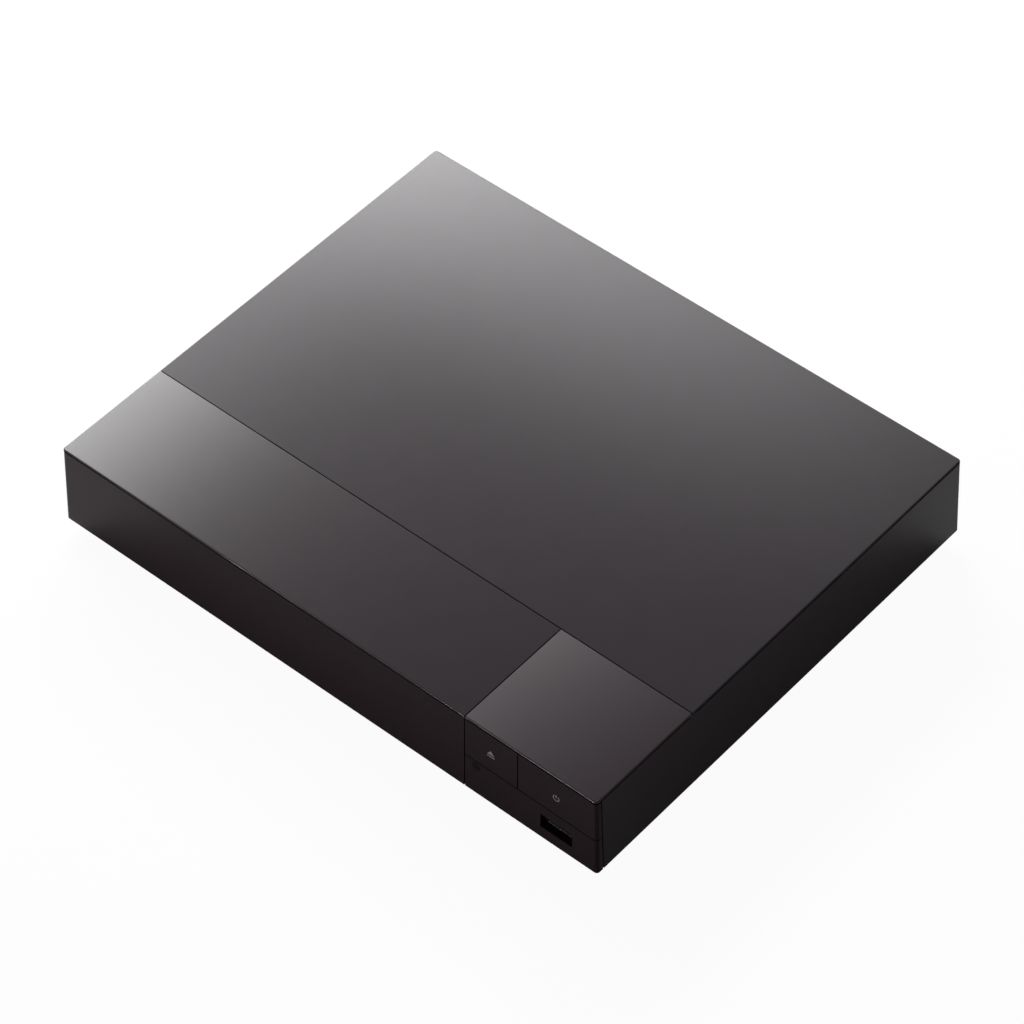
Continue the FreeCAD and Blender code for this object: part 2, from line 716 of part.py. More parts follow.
def bottom_chassis():
    edge = inner_half(Z_BODY, WALL + FIT_GAP)
    rear = Y_PANEL + PANEL_THICK
    rim = block((-edge, edge), (Y_FRAME, rear), (Z_BODY, Z_RIM))
    well_x = edge - PAN_INSET
    well_y = (Y_FRAME + PAN_INSET, rear - PAN_INSET)
    well = block((-well_x, well_x), well_y, (FOOT_HEIGHT, Z_RIM))
    inside = block((SHEET - well_x, well_x - SHEET), (well_y[0] + SHEET, well_y[1] - SHEET), (Z_PAN, Z_TOP))
    well = well.makeFillet(PAN_CORNER, upright_edges(well))
    inside = inside.makeFillet(PAN_CORNER - SHEET, upright_edges(inside))
    pan = join([rim, well]).cut(inside)
    studs, pilots = [], []
    stands = ((loader_screw_places(), LOADER_STANDOFF), (board_screw_places(), BOARD_STANDOFF))
    for places, height in stands:
        for x, y in places:
            studs.append(post(x, y, FOOT_HEIGHT, Z_PAN + height, STANDOFF_RADIUS))
            pilots.append(post(x, y, FOOT_HEIGHT, Z_PAN + height, SCREW_RADIUS + PILOT_GAP))
    rim_holes = [post(x, y, Z_BODY, Z_RIM, SCREW_RADIUS + SCREW_CLEARANCE)
                 for x, y in case_boss_places()]
    vents = vent_slots(X_BOARD + BOARD_WIDTH / 2, Y_BOARD + BOARD_LENGTH / 2, VENT_ROWS, VENT_COLUMNS,
                       FOOT_HEIGHT, Z_PAN)
    vents += vent_slots(X_DISC, Y_DISC + DISC_RADIUS, 1, VENT_COLUMNS, FOOT_HEIGHT, Z_PAN)
    return join([pan] + studs).cut(group(pilots + rim_holes + vents))


def feet_places():
    x = X_RIGHT - FOOT_FROM_SIDE
    return [(side * x, y) for side in (-1, 1) for y in (Y_FRONT + FOOT_FROM_END, Y_REAR - FOOT_FROM_END)]


def rubber_feet():
    feet = []
    for x, y in feet_places():
        foot = post(x, y, 0, FOOT_HEIGHT, FOOT_RADIUS)
        low = [e for e in foot.Edges if e.BoundBox.ZMax < FOOT_HEIGHT / 2]
        feet.append(foot.makeChamfer(FOOT_HEIGHT / 4, low))
    return group(feet)


def case_screws():
    return group([screw(x, y, Z_BODY, up=-1) for x, y in case_boss_places()])


def socket_x(from_end):
    return X_BOARD_END - from_end


def rear_panel():
    half = inner_half(Z_BODY, WALL + FIT_GAP) - SIDE_DRAFT
    y = (Y_PANEL, Y_PANEL + PANEL_THICK)
    panel = block((-half, half), y, (Z_RIM, Z_CEILING - FIT_GAP))
    cuts = []
    for from_end, size in ((DC_X, DC_SIZE), (LAN_X, LAN_SIZE), (HDMI_X, HDMI_SIZE)):
        x = socket_x(from_end)
        cuts.append(block(centred(x, size[0] / 2 + CUTOUT_GAP), (Y_PANEL - WALL, Y_REAR),
                          (Z_BOARD_TOP - CUTOUT_GAP, Z_BOARD_TOP + size[2] + CUTOUT_GAP)))
    coax_z = Z_BOARD_TOP + COAX_SIZE[2] / 2
    cuts.append(rod((socket_x(COAX_X), Y_PANEL - WALL, coax_z), (0, 1, 0), 2 * WALL,
                    COAX_RADIUS + COAX_HOLE_GAP))
    for row in range(VENT_ROWS):
        for column in range(PANEL_VENT_COLUMNS):
            x = X_DISC - LOADER_HALF_WIDTH + (column + 1) * VENT_PITCH
            z = Z_RIM + PANEL_VENT_RISE + row * PANEL_VENT_PITCH
            cuts.append(block(centred(x, VENT_SLOT[0] / 2), (Y_PANEL - WALL, Y_REAR),
                              (z, z + PANEL_VENT_HEIGHT)))
    return panel.cut(group(cuts))


def tray_rails():
    """Lower ledges and upper hooks in which the tray's flanges run."""
    pieces = []
    inner = LOADER_HALF_WIDTH - LOADER_WALL
    ledge_top = Z_TRAY - FIT_GAP
    hook_low = Z_TRAY + TRAY_FLOOR + FIT_GAP
    for side in (-1, 1):
        ledge = sorted((X_DISC + side * (inner - LEDGE), X_DISC + side * inner))
        pieces.append(block(ledge, (Y_LOADER, Y_LOADER_REAR), (ledge_top - LEDGE_THICK, ledge_top)))
        hook = sorted((X_DISC + side * (inner - HOOK), X_DISC + side * inner))
        first, last = Y_LOADER + HOOK_FROM_FRONT, Y_LOADER_REAR - HOOK_FROM_REAR
        for i in range(HOOKS):
            y = first + (last - first) * i / (HOOKS - 1)
            pieces.append(block(hook, centred(y, HOOK_LENGTH / 2), (hook_low, hook_low + HOOK_THICK)))
    return pieces


def cam_guides():
    pieces = []
    z = (Z_LOADER_FLOOR, Z_LOADER_FLOOR + CAM_GUIDE_HEIGHT)
    for x in (X_DISC - CAM_GUIDE_PITCH, X_DISC, X_DISC + CAM_GUIDE_PITCH):
        for y in ((Y_CAM - RUN_GAP - CAM_GUIDE, Y_CAM - RUN_GAP),
                  (Y_CAM + CAM_THICK + RUN_GAP, Y_CAM + CAM_THICK + RUN_GAP + CAM_GUIDE)):
            pieces.append(block(centred(x, CAM_GUIDE_LENGTH / 2), y, z))
    return pieces


def gear_posts():
    tops = ((X_DRIVE, Z_TRAY - 2 * RUN_GAP), (X_IDLER, Z_GEARS + GEAR_FACE + GEAR_PAD),
            (X_BELT_GEAR, Z_PULLEY + PULLEY_THICK + GEAR_PAD / 2))
    posts = []
    for x, top in tops:
        posts.append(post(x, Y_GEARS, Z_LOADER, top, POST_RADIUS))
        posts.append(post(x, Y_GEARS, Z_LOADER, Z_GEARS - FIT_GAP, 2 * POST_RADIUS))
    return posts


def bush_places():
    """Start of each pivot bracket along X, and the way the pin leaves the frame."""
    first = TRAVERSE_HALF_WIDTH + TRAVERSE_ROOM
    return [(X_DISC + first, 1), (X_DISC - first, -1)]


def loader_chassis():
    x = centred(X_DISC, LOADER_HALF_WIDTH)
    inner = centred(X_DISC, TRAVERSE_HALF_WIDTH + TRAVERSE_ROOM)
    wall_top = wall_top_level()
    floor = block(x, (Y_LOADER, Y_LOADER_REAR), (Z_LOADER, Z_LOADER_FLOOR))
    window = block(inner, (Y_TRAVERSE - 2 * CAM_GUIDE, Y_LOADER_REAR - REAR_MEMBER), (0, Z_TOP))
    pieces = [floor.cut(window)]
    inside = centred(X_DISC, LOADER_HALF_WIDTH - LOADER_WALL)
    for wall in ((x[0], inside[0]), (inside[1], x[1])):
        pieces.append(block(wall, (Y_LOADER, Y_LOADER_REAR), (Z_LOADER, wall_top)))
    pieces.append(block(x, (Y_LOADER_REAR - LOADER_WALL, Y_LOADER_REAR), (Z_LOADER, wall_top)))
    pieces += tray_rails() + cam_guides() + gear_posts()
    pieces += [post(px, py, Z_LOADER, wall_top, BRIDGE_BOSS_RADIUS) for px, py in bridge_screw_places()]
    outer = MOTOR_RADIUS + MOTOR_GAP + MOTOR_RING_WALL
    pieces.append(post(X_MOTOR, Y_GEARS, Z_LOADER, Z_LOADER_FLOOR + 2 * GEAR_FACE, outer))
    for bush_x, way in bush_places():
        bracket = sorted((bush_x, bush_x + way * BRACKET_THICK))
        pieces.append(block(bracket, centred(Y_PIVOT, BRACKET_HALF), (Z_LOADER, Z_PIVOT + BRACKET_HALF)))
    cuts = [post(X_MOTOR, Y_GEARS, 0, Z_TOP, MOTOR_RADIUS + MOTOR_GAP)]
    for bush_x, way in bush_places():
        cuts.append(rod((bush_x, Y_PIVOT, Z_PIVOT), (way, 0, 0), BRACKET_THICK,
                        PIVOT_RADIUS + BUSH_GAP + BUSH_WALL))
    for sx, sy in loader_screw_places():
        cuts.append(post(sx, sy, Z_LOADER, Z_LOADER_FLOOR, SCREW_RADIUS + SCREW_CLEARANCE))
    slot = centred(X_DISC, FLEX_WIDTH)
    cuts.append(block(slot, (Y_LOADER_REAR - REAR_MEMBER, Y_LOADER_REAR), (Z_LOADER_FLOOR, Z_PIVOT)))
    cuts += [post(px, py, wall_top - SCREW_LENGTH, wall_top, SCREW_RADIUS + PILOT_GAP)
             for px, py in bridge_screw_places()]
    return join(pieces).cut(group(cuts))


def wall_top_level():
    """Top of the loader's side walls, on which the clamp bridge stands."""
    return Z_DISC + TRAY_RIM + BRIDGE_EDGE / 2


def bridge_screw_places():
    half = LOADER_HALF_WIDTH + BRIDGE_BOSS_OUT
    return [(X_DISC + side * half, Y_DISC + end * BRIDGE_SCREW_Y) for side in (-1, 1) for end in (-1, 1)]


def loader_screws():
    return group([screw(x, y, Z_LOADER_FLOOR, length=SCREW_LENGTH - LOADER_FLOOR)
                  for x, y in loader_screw_places()])


def rack():
    """The toothed bar under the tray, with a tooth space facing the drive pinion."""
    pitch = math.pi * TRAY_MODULE
    slope = math.tan(math.radians(PRESSURE_DEG))
    half = pitch / 4 - BACKLASH / 2
    tip, root = ADDENDUM * TRAY_MODULE, DEDENDUM * TRAY_MODULE
    first = Y_GEARS - pitch / 2
    edge = []
    teeth = math.ceil(TRAY_TRAVEL / pitch) + RACK_SPARE_TEETH
    for tooth in range(teeth):
        y = first + tooth * pitch
        edge += [(X_RACK - root, y - half - root * slope), (X_RACK + tip, y - half + tip * slope),
                 (X_RACK + tip, y + half - tip * slope), (X_RACK - root, y + half + root * slope)]
    back = X_RACK - root - RACK_BODY
    ends = (edge[0][1] - TRAY_MODULE, edge[-1][1] + TRAY_MODULE)
    edge = [(back, ends[0]), (X_RACK - root, ends[0])] + edge + [(X_RACK - root, ends[1]), (back, ends[1])]
    return prism(edge, Z_RACK, Z_TRAY)


def disc_tray():
    rear = Y_DISC + TRAY_LENGTH_BEHIND
    seat = Z_TRAY + TRAY_FLOOR
    body = block(centred(X_DISC, TRAY_HALF_WIDTH), (Y_SKIN, rear), (Z_TRAY, Z_TRAY_TOP))
    flange = block(centred(X_DISC, TRAY_HALF_WIDTH + TRAY_FLANGE), (Y_SKIN + TRAY_FACE_THICK, rear),
                   (Z_TRAY, seat))
    face = block(centred(X_DISC, TRAY_HALF_WIDTH + TRAY_FACE_LUG), (Y_SKIN, Y_SKIN + TRAY_FACE_THICK),
                 (Z_TRAY - TRAY_FACE_BELOW, Z_TRAY + TRAY_FACE_ABOVE))
    body = join([body, flange, face, rack()])
    cuts = [post(X_DISC, Y_DISC, seat, Z_TOP, DISC_RADIUS + DISC_GAP),
            post(X_DISC, Y_DISC, seat - SMALL_RECESS, Z_TOP, SMALL_DISC_RADIUS + DISC_GAP),
            post(X_DISC, Y_DISC, 0, Z_TOP, SLOT_HALF),
            block(centred(X_DISC, SLOT_HALF), (Y_DISC, rear), (0, Z_TOP))]
    for turn in (1, 3, 5, 7):
        angle = turn * math.pi / 4
        cuts.append(post(X_DISC + DISC_RADIUS * math.cos(angle), Y_DISC + DISC_RADIUS * math.sin(angle),
                         seat - SMALL_RECESS, Z_TOP, NOTCH_RADIUS))
    return body.cut(group(cuts[:1])).cut(group(cuts[1:2])).cut(join(cuts[2:4])).cut(group(cuts[4:]))


def bridge_level():
    """Underside of the clamp bridge."""
    return Z_DISC + DISC_THICK + CLAMP_GAP + CLAMPER_DISC + BRIDGE_LIFT


def clamp_bridge():
    z0 = bridge_level()
    z1 = z0 + BRIDGE_THICK
    reach = LOADER_HALF_WIDTH + BRIDGE_BOSS_OUT + BRIDGE_BOSS_RADIUS
    x = centred(X_DISC, reach)
    y = centred(Y_DISC, BRIDGE_DEPTH / 2)
    wall_top = wall_top_level()
    pieces = [block(x, y, (z0, z1))]
    for side in (-1, 1):
        foot = sorted((X_DISC + side * (LOADER_HALF_WIDTH - 2 * LOADER_WALL), X_DISC + side * reach))
        pieces.append(block(foot, y, (wall_top, z0)))
        edge = sorted((y[0] if side < 0 else y[1], (y[0] + SHEET) if side < 0 else (y[1] - SHEET)))
        pieces.append(block(x, edge, (z1, z1 + BRIDGE_EDGE)))
    holes = [post(X_DISC, Y_DISC, z0, z1, BRIDGE_HOLE_RADIUS)]
    holes += [post(px, py, wall_top, z1, SCREW_RADIUS + SCREW_CLEARANCE)
              for px, py in bridge_screw_places()]
    return join(pieces).cut(group(holes))


def bridge_screws():
    z = bridge_level() + BRIDGE_THICK
    return group([screw(x, y, z) for x, y in bridge_screw_places()])


def clamper_levels():
    low = Z_DISC + DISC_THICK + CLAMP_GAP
    top = bridge_level() + BRIDGE_THICK + RUN_GAP
    return low, low + CLAMPER_DISC, top, top + CLAMPER_TOP


def clamper():
    low, disc_top, flange, top = clamper_levels()
    body = join([post(X_DISC, Y_DISC, low, disc_top, CLAMPER_RADIUS),
                 post(X_DISC, Y_DISC, low, top, CLAMPER_NECK_RADIUS),
                 post(X_DISC, Y_DISC, flange, top, CLAMPER_TOP_RADIUS)])
    hub = post(X_DISC, Y_DISC, low, Z_DISC + HUB_HEIGHT + RUN_GAP, HUB_RADIUS + 2 * RUN_GAP)
    pocket = post(X_DISC, Y_DISC, top - MAGNET_THICK, top, MAGNET_RADIUS)
    pin = post(X_DISC, Y_DISC, top - MAGNET_THICK, top, MAGNET_BORE)
    return body.cut(hub).cut(pocket.cut(pin))


def clamper_magnet():
    top = clamper_levels()[3]
    ring = post(X_DISC, Y_DISC, top - MAGNET_THICK, top - RUN_GAP, MAGNET_RADIUS - PILOT_GAP)
    return ring.cut(post(X_DISC, Y_DISC, 0, Z_TOP, MAGNET_BORE + PILOT_GAP))


def rod_ends():
    """Front and rear end of the guide rods, each inside its holder."""
    front = Y_LENS - SLED_HALF_LENGTH - ROD_HOLDER - RUN_GAP
    rear = Y_LENS + SLED_TRAVEL + SLED_HALF_LENGTH + ROD_HOLDER + RUN_GAP
    return front, rear


def traverse_frame():
    low = Z_TRAVERSE - TRAVERSE_PLATE - TRAVERSE_SKIRT
    x = centred(X_DISC, TRAVERSE_HALF_WIDTH)
    solid = block(x, (Y_TRAVERSE, Y_TRAVERSE_REAR), (low, Z_TRAVERSE))
    hollow = block(centred(X_DISC, TRAVERSE_HALF_WIDTH - TRAVERSE_WALL),
                   (Y_TRAVERSE + TRAVERSE_WALL, Y_PIVOT - 2 * PIVOT_RADIUS),
                   (low, Z_TRAVERSE - TRAVERSE_PLATE))
    front, rear = rod_ends()
    screw_x = X_DISC - SCREW_AXIS_X
    sled_room = block((screw_x - SLED_MOTOR_RADIUS, X_DISC + SLED_HALF_WIDTH + 2 * RUN_GAP),
                      (front + ROD_HOLDER, rear - ROD_HOLDER), (0, Z_TOP))
    motor_room = block(centred(screw_x, SLED_MOTOR_RADIUS + RUN_GAP),
                       (front - SLED_MOTOR_LENGTH, front), (0, Z_TRAVERSE))
    pieces = [solid.cut(hollow).cut(sled_room).cut(motor_room)]
    z_screw = Z_ROD - SCREW_AXIS_DROP
    for y in ((front, front + ROD_HOLDER), (rear - ROD_HOLDER, rear)):
        for rod_x in (X_DISC - ROD_X, X_DISC + ROD_X):
            pieces.append(block(centred(rod_x, 2 * ROD_RADIUS), y, (Z_TRAVERSE, Z_ROD + 2 * ROD_RADIUS)))
        pieces.append(block(centred(screw_x, 2 * LEAD_RADIUS), y, (Z_TRAVERSE - TRAVERSE_PLATE,
                                                                  z_screw + 2 * LEAD_RADIUS)))
    for side in (-1, 1):
        pin_x = X_DISC + side * LIFT_PIN_X
        pieces.append(block(centred(pin_x, 2 * LIFT_PIN_RADIUS), (Y_TRAVERSE, Y_TRAVERSE + TRAVERSE_WALL),
                            (low, Z_LIFT_PIN + 2 * LIFT_PIN_RADIUS)))
        pieces.append(rod((pin_x, Y_TRAVERSE + TRAVERSE_WALL, Z_LIFT_PIN), (0, -1, 0),
                          LIFT_PIN_LENGTH + TRAVERSE_WALL, LIFT_PIN_RADIUS))
        pieces.append(rod((X_DISC + side * (TRAVERSE_HALF_WIDTH - TRAVERSE_WALL), Y_PIVOT, Z_PIVOT),
                          (side, 0, 0), TRAVERSE_ROOM + BRACKET_THICK + TRAVERSE_WALL, PIVOT_RADIUS))
    body = join(pieces)
    holes = [rod((X_DISC + s * ROD_X, front, Z_ROD), (0, 1, 0), rear - front, ROD_RADIUS + PILOT_GAP)
             for s in (-1, 1)]
    holes.append(rod((screw_x, front - FIT_GAP, z_screw), (0, 1, 0), rear - front + 2 * FIT_GAP,
                     LEAD_RADIUS + POST_GAP))
    return body.cut(group(holes))


def pivot_bushes():
    bushes = []
    for x, way in bush_places():
        bore = PIVOT_RADIUS + BUSH_GAP
        outer = rod((x, Y_PIVOT, Z_PIVOT), (way, 0, 0), BRACKET_THICK, bore + BUSH_WALL)
        bushes.append(outer.cut(rod((x, Y_PIVOT, Z_PIVOT), (way, 0, 0), BRACKET_THICK, bore)))
    return group(bushes)


def turntable_low():
    return Z_DISC - TURNTABLE_THICK


def rotor_low():
    return turntable_low() - ROTOR_HEIGHT


def spindle_motor():
    top = rotor_low() - RUN_GAP
    base = post(X_DISC, Y_DISC, Z_TRAVERSE, top, STATOR_RADIUS)
    bearing = post(X_DISC, Y_DISC, Z_TRAVERSE, top + ROTOR_HEIGHT / 2, 3 * SPINDLE_RADIUS)
    shaft_hole = post(X_DISC, Y_DISC, Z_TRAVERSE, Z_DISC, SPINDLE_RADIUS + POST_GAP)
    return join([base, bearing]).cut(shaft_hole)


def spindle_rotor():
    low, top = rotor_low(), turntable_low()
    cup = post(X_DISC, Y_DISC, low, top, ROTOR_RADIUS)
    inside = post(X_DISC, Y_DISC, low, low + ROTOR_HEIGHT / 2 + RUN_GAP, ROTOR_RADIUS - SHEET)
    shaft = post(X_DISC, Y_DISC, Z_TRAVERSE + RUN_GAP, top, SPINDLE_RADIUS)
    return join([cup.cut(inside), shaft])


def turntable():
    flange = post(X_DISC, Y_DISC, turntable_low(), Z_DISC, TURNTABLE_RADIUS)
    hub = Part.makeCone(HUB_RADIUS, HUB_RADIUS - HUB_HEIGHT / 2, HUB_HEIGHT, vector(X_DISC, Y_DISC, Z_DISC))
    return join([flange, hub])


def guide_rods():
    front, rear = rod_ends()
    return group([rod((X_DISC + side * ROD_X, front, Z_ROD), (0, 1, 0), rear - front, ROD_RADIUS)
                  for side in (-1, 1)])


def sled_levels():
    low = Z_ROD - SLED_HEIGHT / 2 - ROD_RADIUS / 3
    return low, low + SLED_HEIGHT, low + SLED_HEIGHT + SLED_TOP[2]


def holder_levels():
    top = Z_DISC - LENS_CLEAR - LENS_RISE
    return top - HOLDER_HEIGHT, top


def pickup_sled():
    low, deck, top = sled_levels()
    body = block(centred(X_DISC, SLED_HALF_WIDTH), centred(Y_LENS, SLED_HALF_LENGTH), (low, deck))
    tower = block(centred(X_DISC, SLED_TOP[0] / 2), centred(Y_LENS, SLED_TOP[1] / 2), (deck, top))
    z_screw = Z_ROD - SCREW_AXIS_DROP
    screw_x = X_DISC - SCREW_AXIS_X
    nut = block((screw_x - LEAD_RADIUS - NUT_WALL, X_DISC - SLED_HALF_WIDTH), centred(Y_LENS, LEAD_PITCH),
                (low, z_screw + LEAD_RADIUS + NUT_WALL / 2))
    pieces = join([body, tower, nut])
    pocket_low = holder_levels()[0] - HOLDER_GAP
    half = HOLDER_SIZE / 2 + HOLDER_GAP
    cuts = [block(centred(X_DISC, half), centred(Y_LENS, half), (pocket_low, top))]
    for side in (-1, 1):
        cuts.append(rod((X_DISC + side * ROD_X, Y_LENS - SLED_HALF_LENGTH, Z_ROD), (0, 1, 0),
                        2 * SLED_HALF_LENGTH, ROD_RADIUS + ROD_GAP))
    cuts.append(rod((screw_x, Y_LENS - LEAD_PITCH, z_screw), (0, 1, 0), 2 * LEAD_PITCH,
                    LEAD_RADIUS + ROD_GAP))
    return pieces.cut(group(cuts))


def lens_holder():
    low, top = holder_levels()
    body = block(centred(X_DISC, HOLDER_SIZE / 2), centred(Y_LENS, HOLDER_SIZE / 2), (low, top))
    body = body.makeFillet(LENS_WALL, upright_edges(body))
    return body.cut(post(X_DISC, Y_LENS, low + LENS_WALL, top, LENS_RADIUS + PILOT_GAP))


def objective_lens():
    low, top = holder_levels()
    barrel = post(X_DISC, Y_LENS, low + LENS_WALL, top, LENS_RADIUS)
    ball = (LENS_RADIUS ** 2 + LENS_RISE ** 2) / (2 * LENS_RISE)
    dome = Part.makeSphere(ball, vector(X_DISC, Y_LENS, top + LENS_RISE - ball))
    dome = dome.common(post(X_DISC, Y_LENS, top, top + LENS_RISE, LENS_RADIUS))
    return join([barrel, dome])


def sled_motor():
    front = rod_ends()[0]
    start = (X_DISC - SCREW_AXIS_X, front - SLED_MOTOR_LENGTH + RUN_GAP, Z_ROD - SCREW_AXIS_DROP)
    body = rod(start, (0, 1, 0), SLED_MOTOR_LENGTH - RUN_GAP, SLED_MOTOR_RADIUS)
    return body.cut(rod(start, (0, 1, 0), SLED_MOTOR_LENGTH, LEAD_RADIUS + POST_GAP))


def lead_screw():
    front, rear = rod_ends()
    start = front - SLED_MOTOR_LENGTH / 2
    foot = (X_DISC - SCREW_AXIS_X, start, Z_ROD - SCREW_AXIS_DROP)
    return rod(foot, (0, 1, 0), rear - start, LEAD_RADIUS)


def loading_motor():
    top = Z_PULLEY - RUN_GAP
    body = post(X_MOTOR, Y_GEARS, Z_PAN + FIT_GAP, top - GEAR_PAD, MOTOR_RADIUS)
    return join([body, post(X_MOTOR, Y_GEARS, Z_PAN + FIT_GAP, top, 3 * MOTOR_SHAFT_RADIUS)]).cut(
        post(X_MOTOR, Y_GEARS, top - 2 * GEAR_FACE, top, MOTOR_SHAFT_RADIUS + POST_GAP))


def motor_pulley():
    pulley = grooved_pulley(X_MOTOR, Y_GEARS, Z_PULLEY, MOTOR_PULLEY_RADIUS, MOTOR_SHAFT_RADIUS / 2)
    shaft = post(X_MOTOR, Y_GEARS, Z_PULLEY - GEAR_FACE, Z_PULLEY + PULLEY_THICK, MOTOR_SHAFT_RADIUS)
    return join([pulley, shaft])


def loop(r1, r2, z0, z1):
    """A flat loop round both pulley centres, with straight runs."""
    lean = math.asin((r1 - r2) / PULLEY_DISTANCE)
    bow = math.cos(lean), math.sin(lean)
    points = []
    for x, r in ((X_BELT_GEAR, r1), (X_MOTOR, r2)):
        for side in (1, -1):
            points.append((x + r * bow[1], Y_GEARS + side * r * bow[0]))
    quad = prism([points[0], points[2], points[3], points[1]], z0, z1)
    return join([quad, post(X_BELT_GEAR, Y_GEARS, z0, z1, r1), post(X_MOTOR, Y_GEARS, z0, z1, r2)])


def drive_belt():
    z0 = Z_PULLEY + (PULLEY_THICK - BELT_SIZE) / 2
    inner = (PULLEY_RADIUS - GROOVE_DEPTH + RUN_GAP, MOTOR_PULLEY_RADIUS - GROOVE_DEPTH + RUN_GAP)
    outer = loop(inner[0] + BELT_SIZE, inner[1] + BELT_SIZE, z0, z0 + BELT_SIZE)
    return outer.cut(loop(inner[0], inner[1], z0, z0 + BELT_SIZE))


def belt_pulley_gear():
    points = gear_outline(X_BELT_GEAR, Y_GEARS, BELT_PINION_TEETH, TRAIN_MODULE, math.pi)
    pinion = prism(points, Z_GEARS, Z_GEARS + GEAR_FACE)
    neck = post(X_BELT_GEAR, Y_GEARS, Z_GEARS, Z_PULLEY, 2 * POST_RADIUS)
    pulley = grooved_pulley(X_BELT_GEAR, Y_GEARS, Z_PULLEY, PULLEY_RADIUS, POST_RADIUS)
    bore = post(X_BELT_GEAR, Y_GEARS, 0, Z_TOP, POST_RADIUS + POST_GAP)
    return join([pinion, neck, pulley]).cut(bore)


def idler_gear():
    points = gear_outline(X_IDLER, Y_GEARS, IDLER_TEETH, TRAIN_MODULE, math.pi + math.pi / IDLER_TEETH)
    return prism(points, Z_GEARS, Z_GEARS + GEAR_FACE).cut(
        post(X_IDLER, Y_GEARS, 0, Z_TOP, POST_RADIUS + POST_GAP))


def tray_drive_gear():
    wheel = prism(gear_outline(X_DRIVE, Y_GEARS, WHEEL_TEETH, TRAIN_MODULE, 0.0),
                  Z_GEARS, Z_GEARS + GEAR_FACE)
    pinion = prism(gear_outline(X_DRIVE, Y_GEARS, PINION_TEETH, TRAY_MODULE, math.pi),
                   Z_RACK, Z_TRAY - 4 * RUN_GAP)
    neck = post(X_DRIVE, Y_GEARS, Z_GEARS + GEAR_FACE, Z_RACK, 3 * POST_RADIUS)
    return join([wheel, neck, pinion]).cut(post(X_DRIVE, Y_GEARS, 0, Z_TOP, POST_RADIUS + POST_GAP))


def cam_slot(pin_x):
    """A slanted slot that starts at the pin and drops as the slider moves to the right."""
    radius = LIFT_PIN_RADIUS + CAM_PIN_GAP
    ends = ((pin_x, Z_LIFT_PIN), (pin_x - CAM_TRAVEL, Z_LIFT_PIN - PIN_DROP))
    run = math.hypot(CAM_TRAVEL, PIN_DROP)
    side = (-PIN_DROP / run * radius, CAM_TRAVEL / run * radius)
    corners = [(ends[0][0] + side[0], ends[0][1] + side[1]), (ends[1][0] + side[0], ends[1][1] + side[1]),
               (ends[1][0] - side[0], ends[1][1] - side[1]), (ends[0][0] - side[0], ends[0][1] - side[1])]
    wire = Part.makePolygon([vector(x, Y_CAM, z) for x, z in corners + corners[:1]])
    middle = Part.Face(wire).extrude(vector(0, CAM_THICK, 0))
    return join([middle] + [rod((x, Y_CAM, z), (0, 1, 0), CAM_THICK, radius) for x, z in ends])


def cam_slider():
    radius = LIFT_PIN_RADIUS + CAM_PIN_GAP
    end = LIFT_PIN_X + radius + CAM_MARGIN
    bar = block((X_DISC - CAM_TRAVEL - end, X_DISC + end), (Y_CAM, Y_CAM + CAM_THICK),
                (Z_LOADER_FLOOR + FIT_GAP, Z_LIFT_PIN + radius + CAM_MARGIN / 2))
    for side in (-1, 1):
        bar = bar.cut(cam_slot(X_DISC + side * LIFT_PIN_X))
    return bar


def tray_switch():
    """The limit switch at the rear of the loader's floor."""
    x = X_DISC + (LOADER_HALF_WIDTH + TRAVERSE_HALF_WIDTH + TRAVERSE_ROOM) / 2
    y = Y_LOADER_REAR - REAR_MEMBER
    body = block(centred(x, SWITCH_SIZE / 2), centred(y, SWITCH_SIZE / 2),
                 (Z_LOADER_FLOOR, Z_LOADER_FLOOR + SWITCH_SIZE))
    lever = block(centred(x, KEY_ARM_THICK / 2), centred(y, SWITCH_SIZE / 2),
                  (Z_LOADER_FLOOR + SWITCH_SIZE, Z_LOADER_FLOOR + SWITCH_SIZE + SHEET))
    return join([body, lever])


def main_board():
    board = block((X_BOARD, X_BOARD_END), (Y_BOARD, Y_BOARD_END), (Z_BOARD, Z_BOARD_TOP))
    holes = [post(x, y, Z_BOARD, Z_BOARD_TOP, SCREW_RADIUS + SCREW_CLEARANCE)
             for x, y in board_screw_places()]
    return board.cut(group(holes))


def board_screws():
    screws = [screw(x, y, Z_BOARD_TOP, length=SCREW_LENGTH - BOARD_THICK)
              for x, y in board_screw_places()]
    for x, z in front_board_posts():
        flat = screw(0, 0, 0, length=SCREW_LENGTH)
        flat.rotate(vector(0, 0, 0), vector(1, 0, 0), -90)
        flat.translate(vector(x, Y_FRONT_BOARD + BOARD_THICK, z))
        screws.append(flat)
    return group(screws)


def on_board(x, y, size):
    """A block on the main board, its centre measured from the board's front left corner."""
    cx, cy = X_BOARD + x, Y_BOARD + y
    return block(centred(cx, size[0] / 2), centred(cy, size[1] / 2), (Z_BOARD_TOP, Z_BOARD_TOP + size[2]))


def heatsink_place():
    return BOARD_WIDTH / 2, HEATSINK_FROM_FRONT


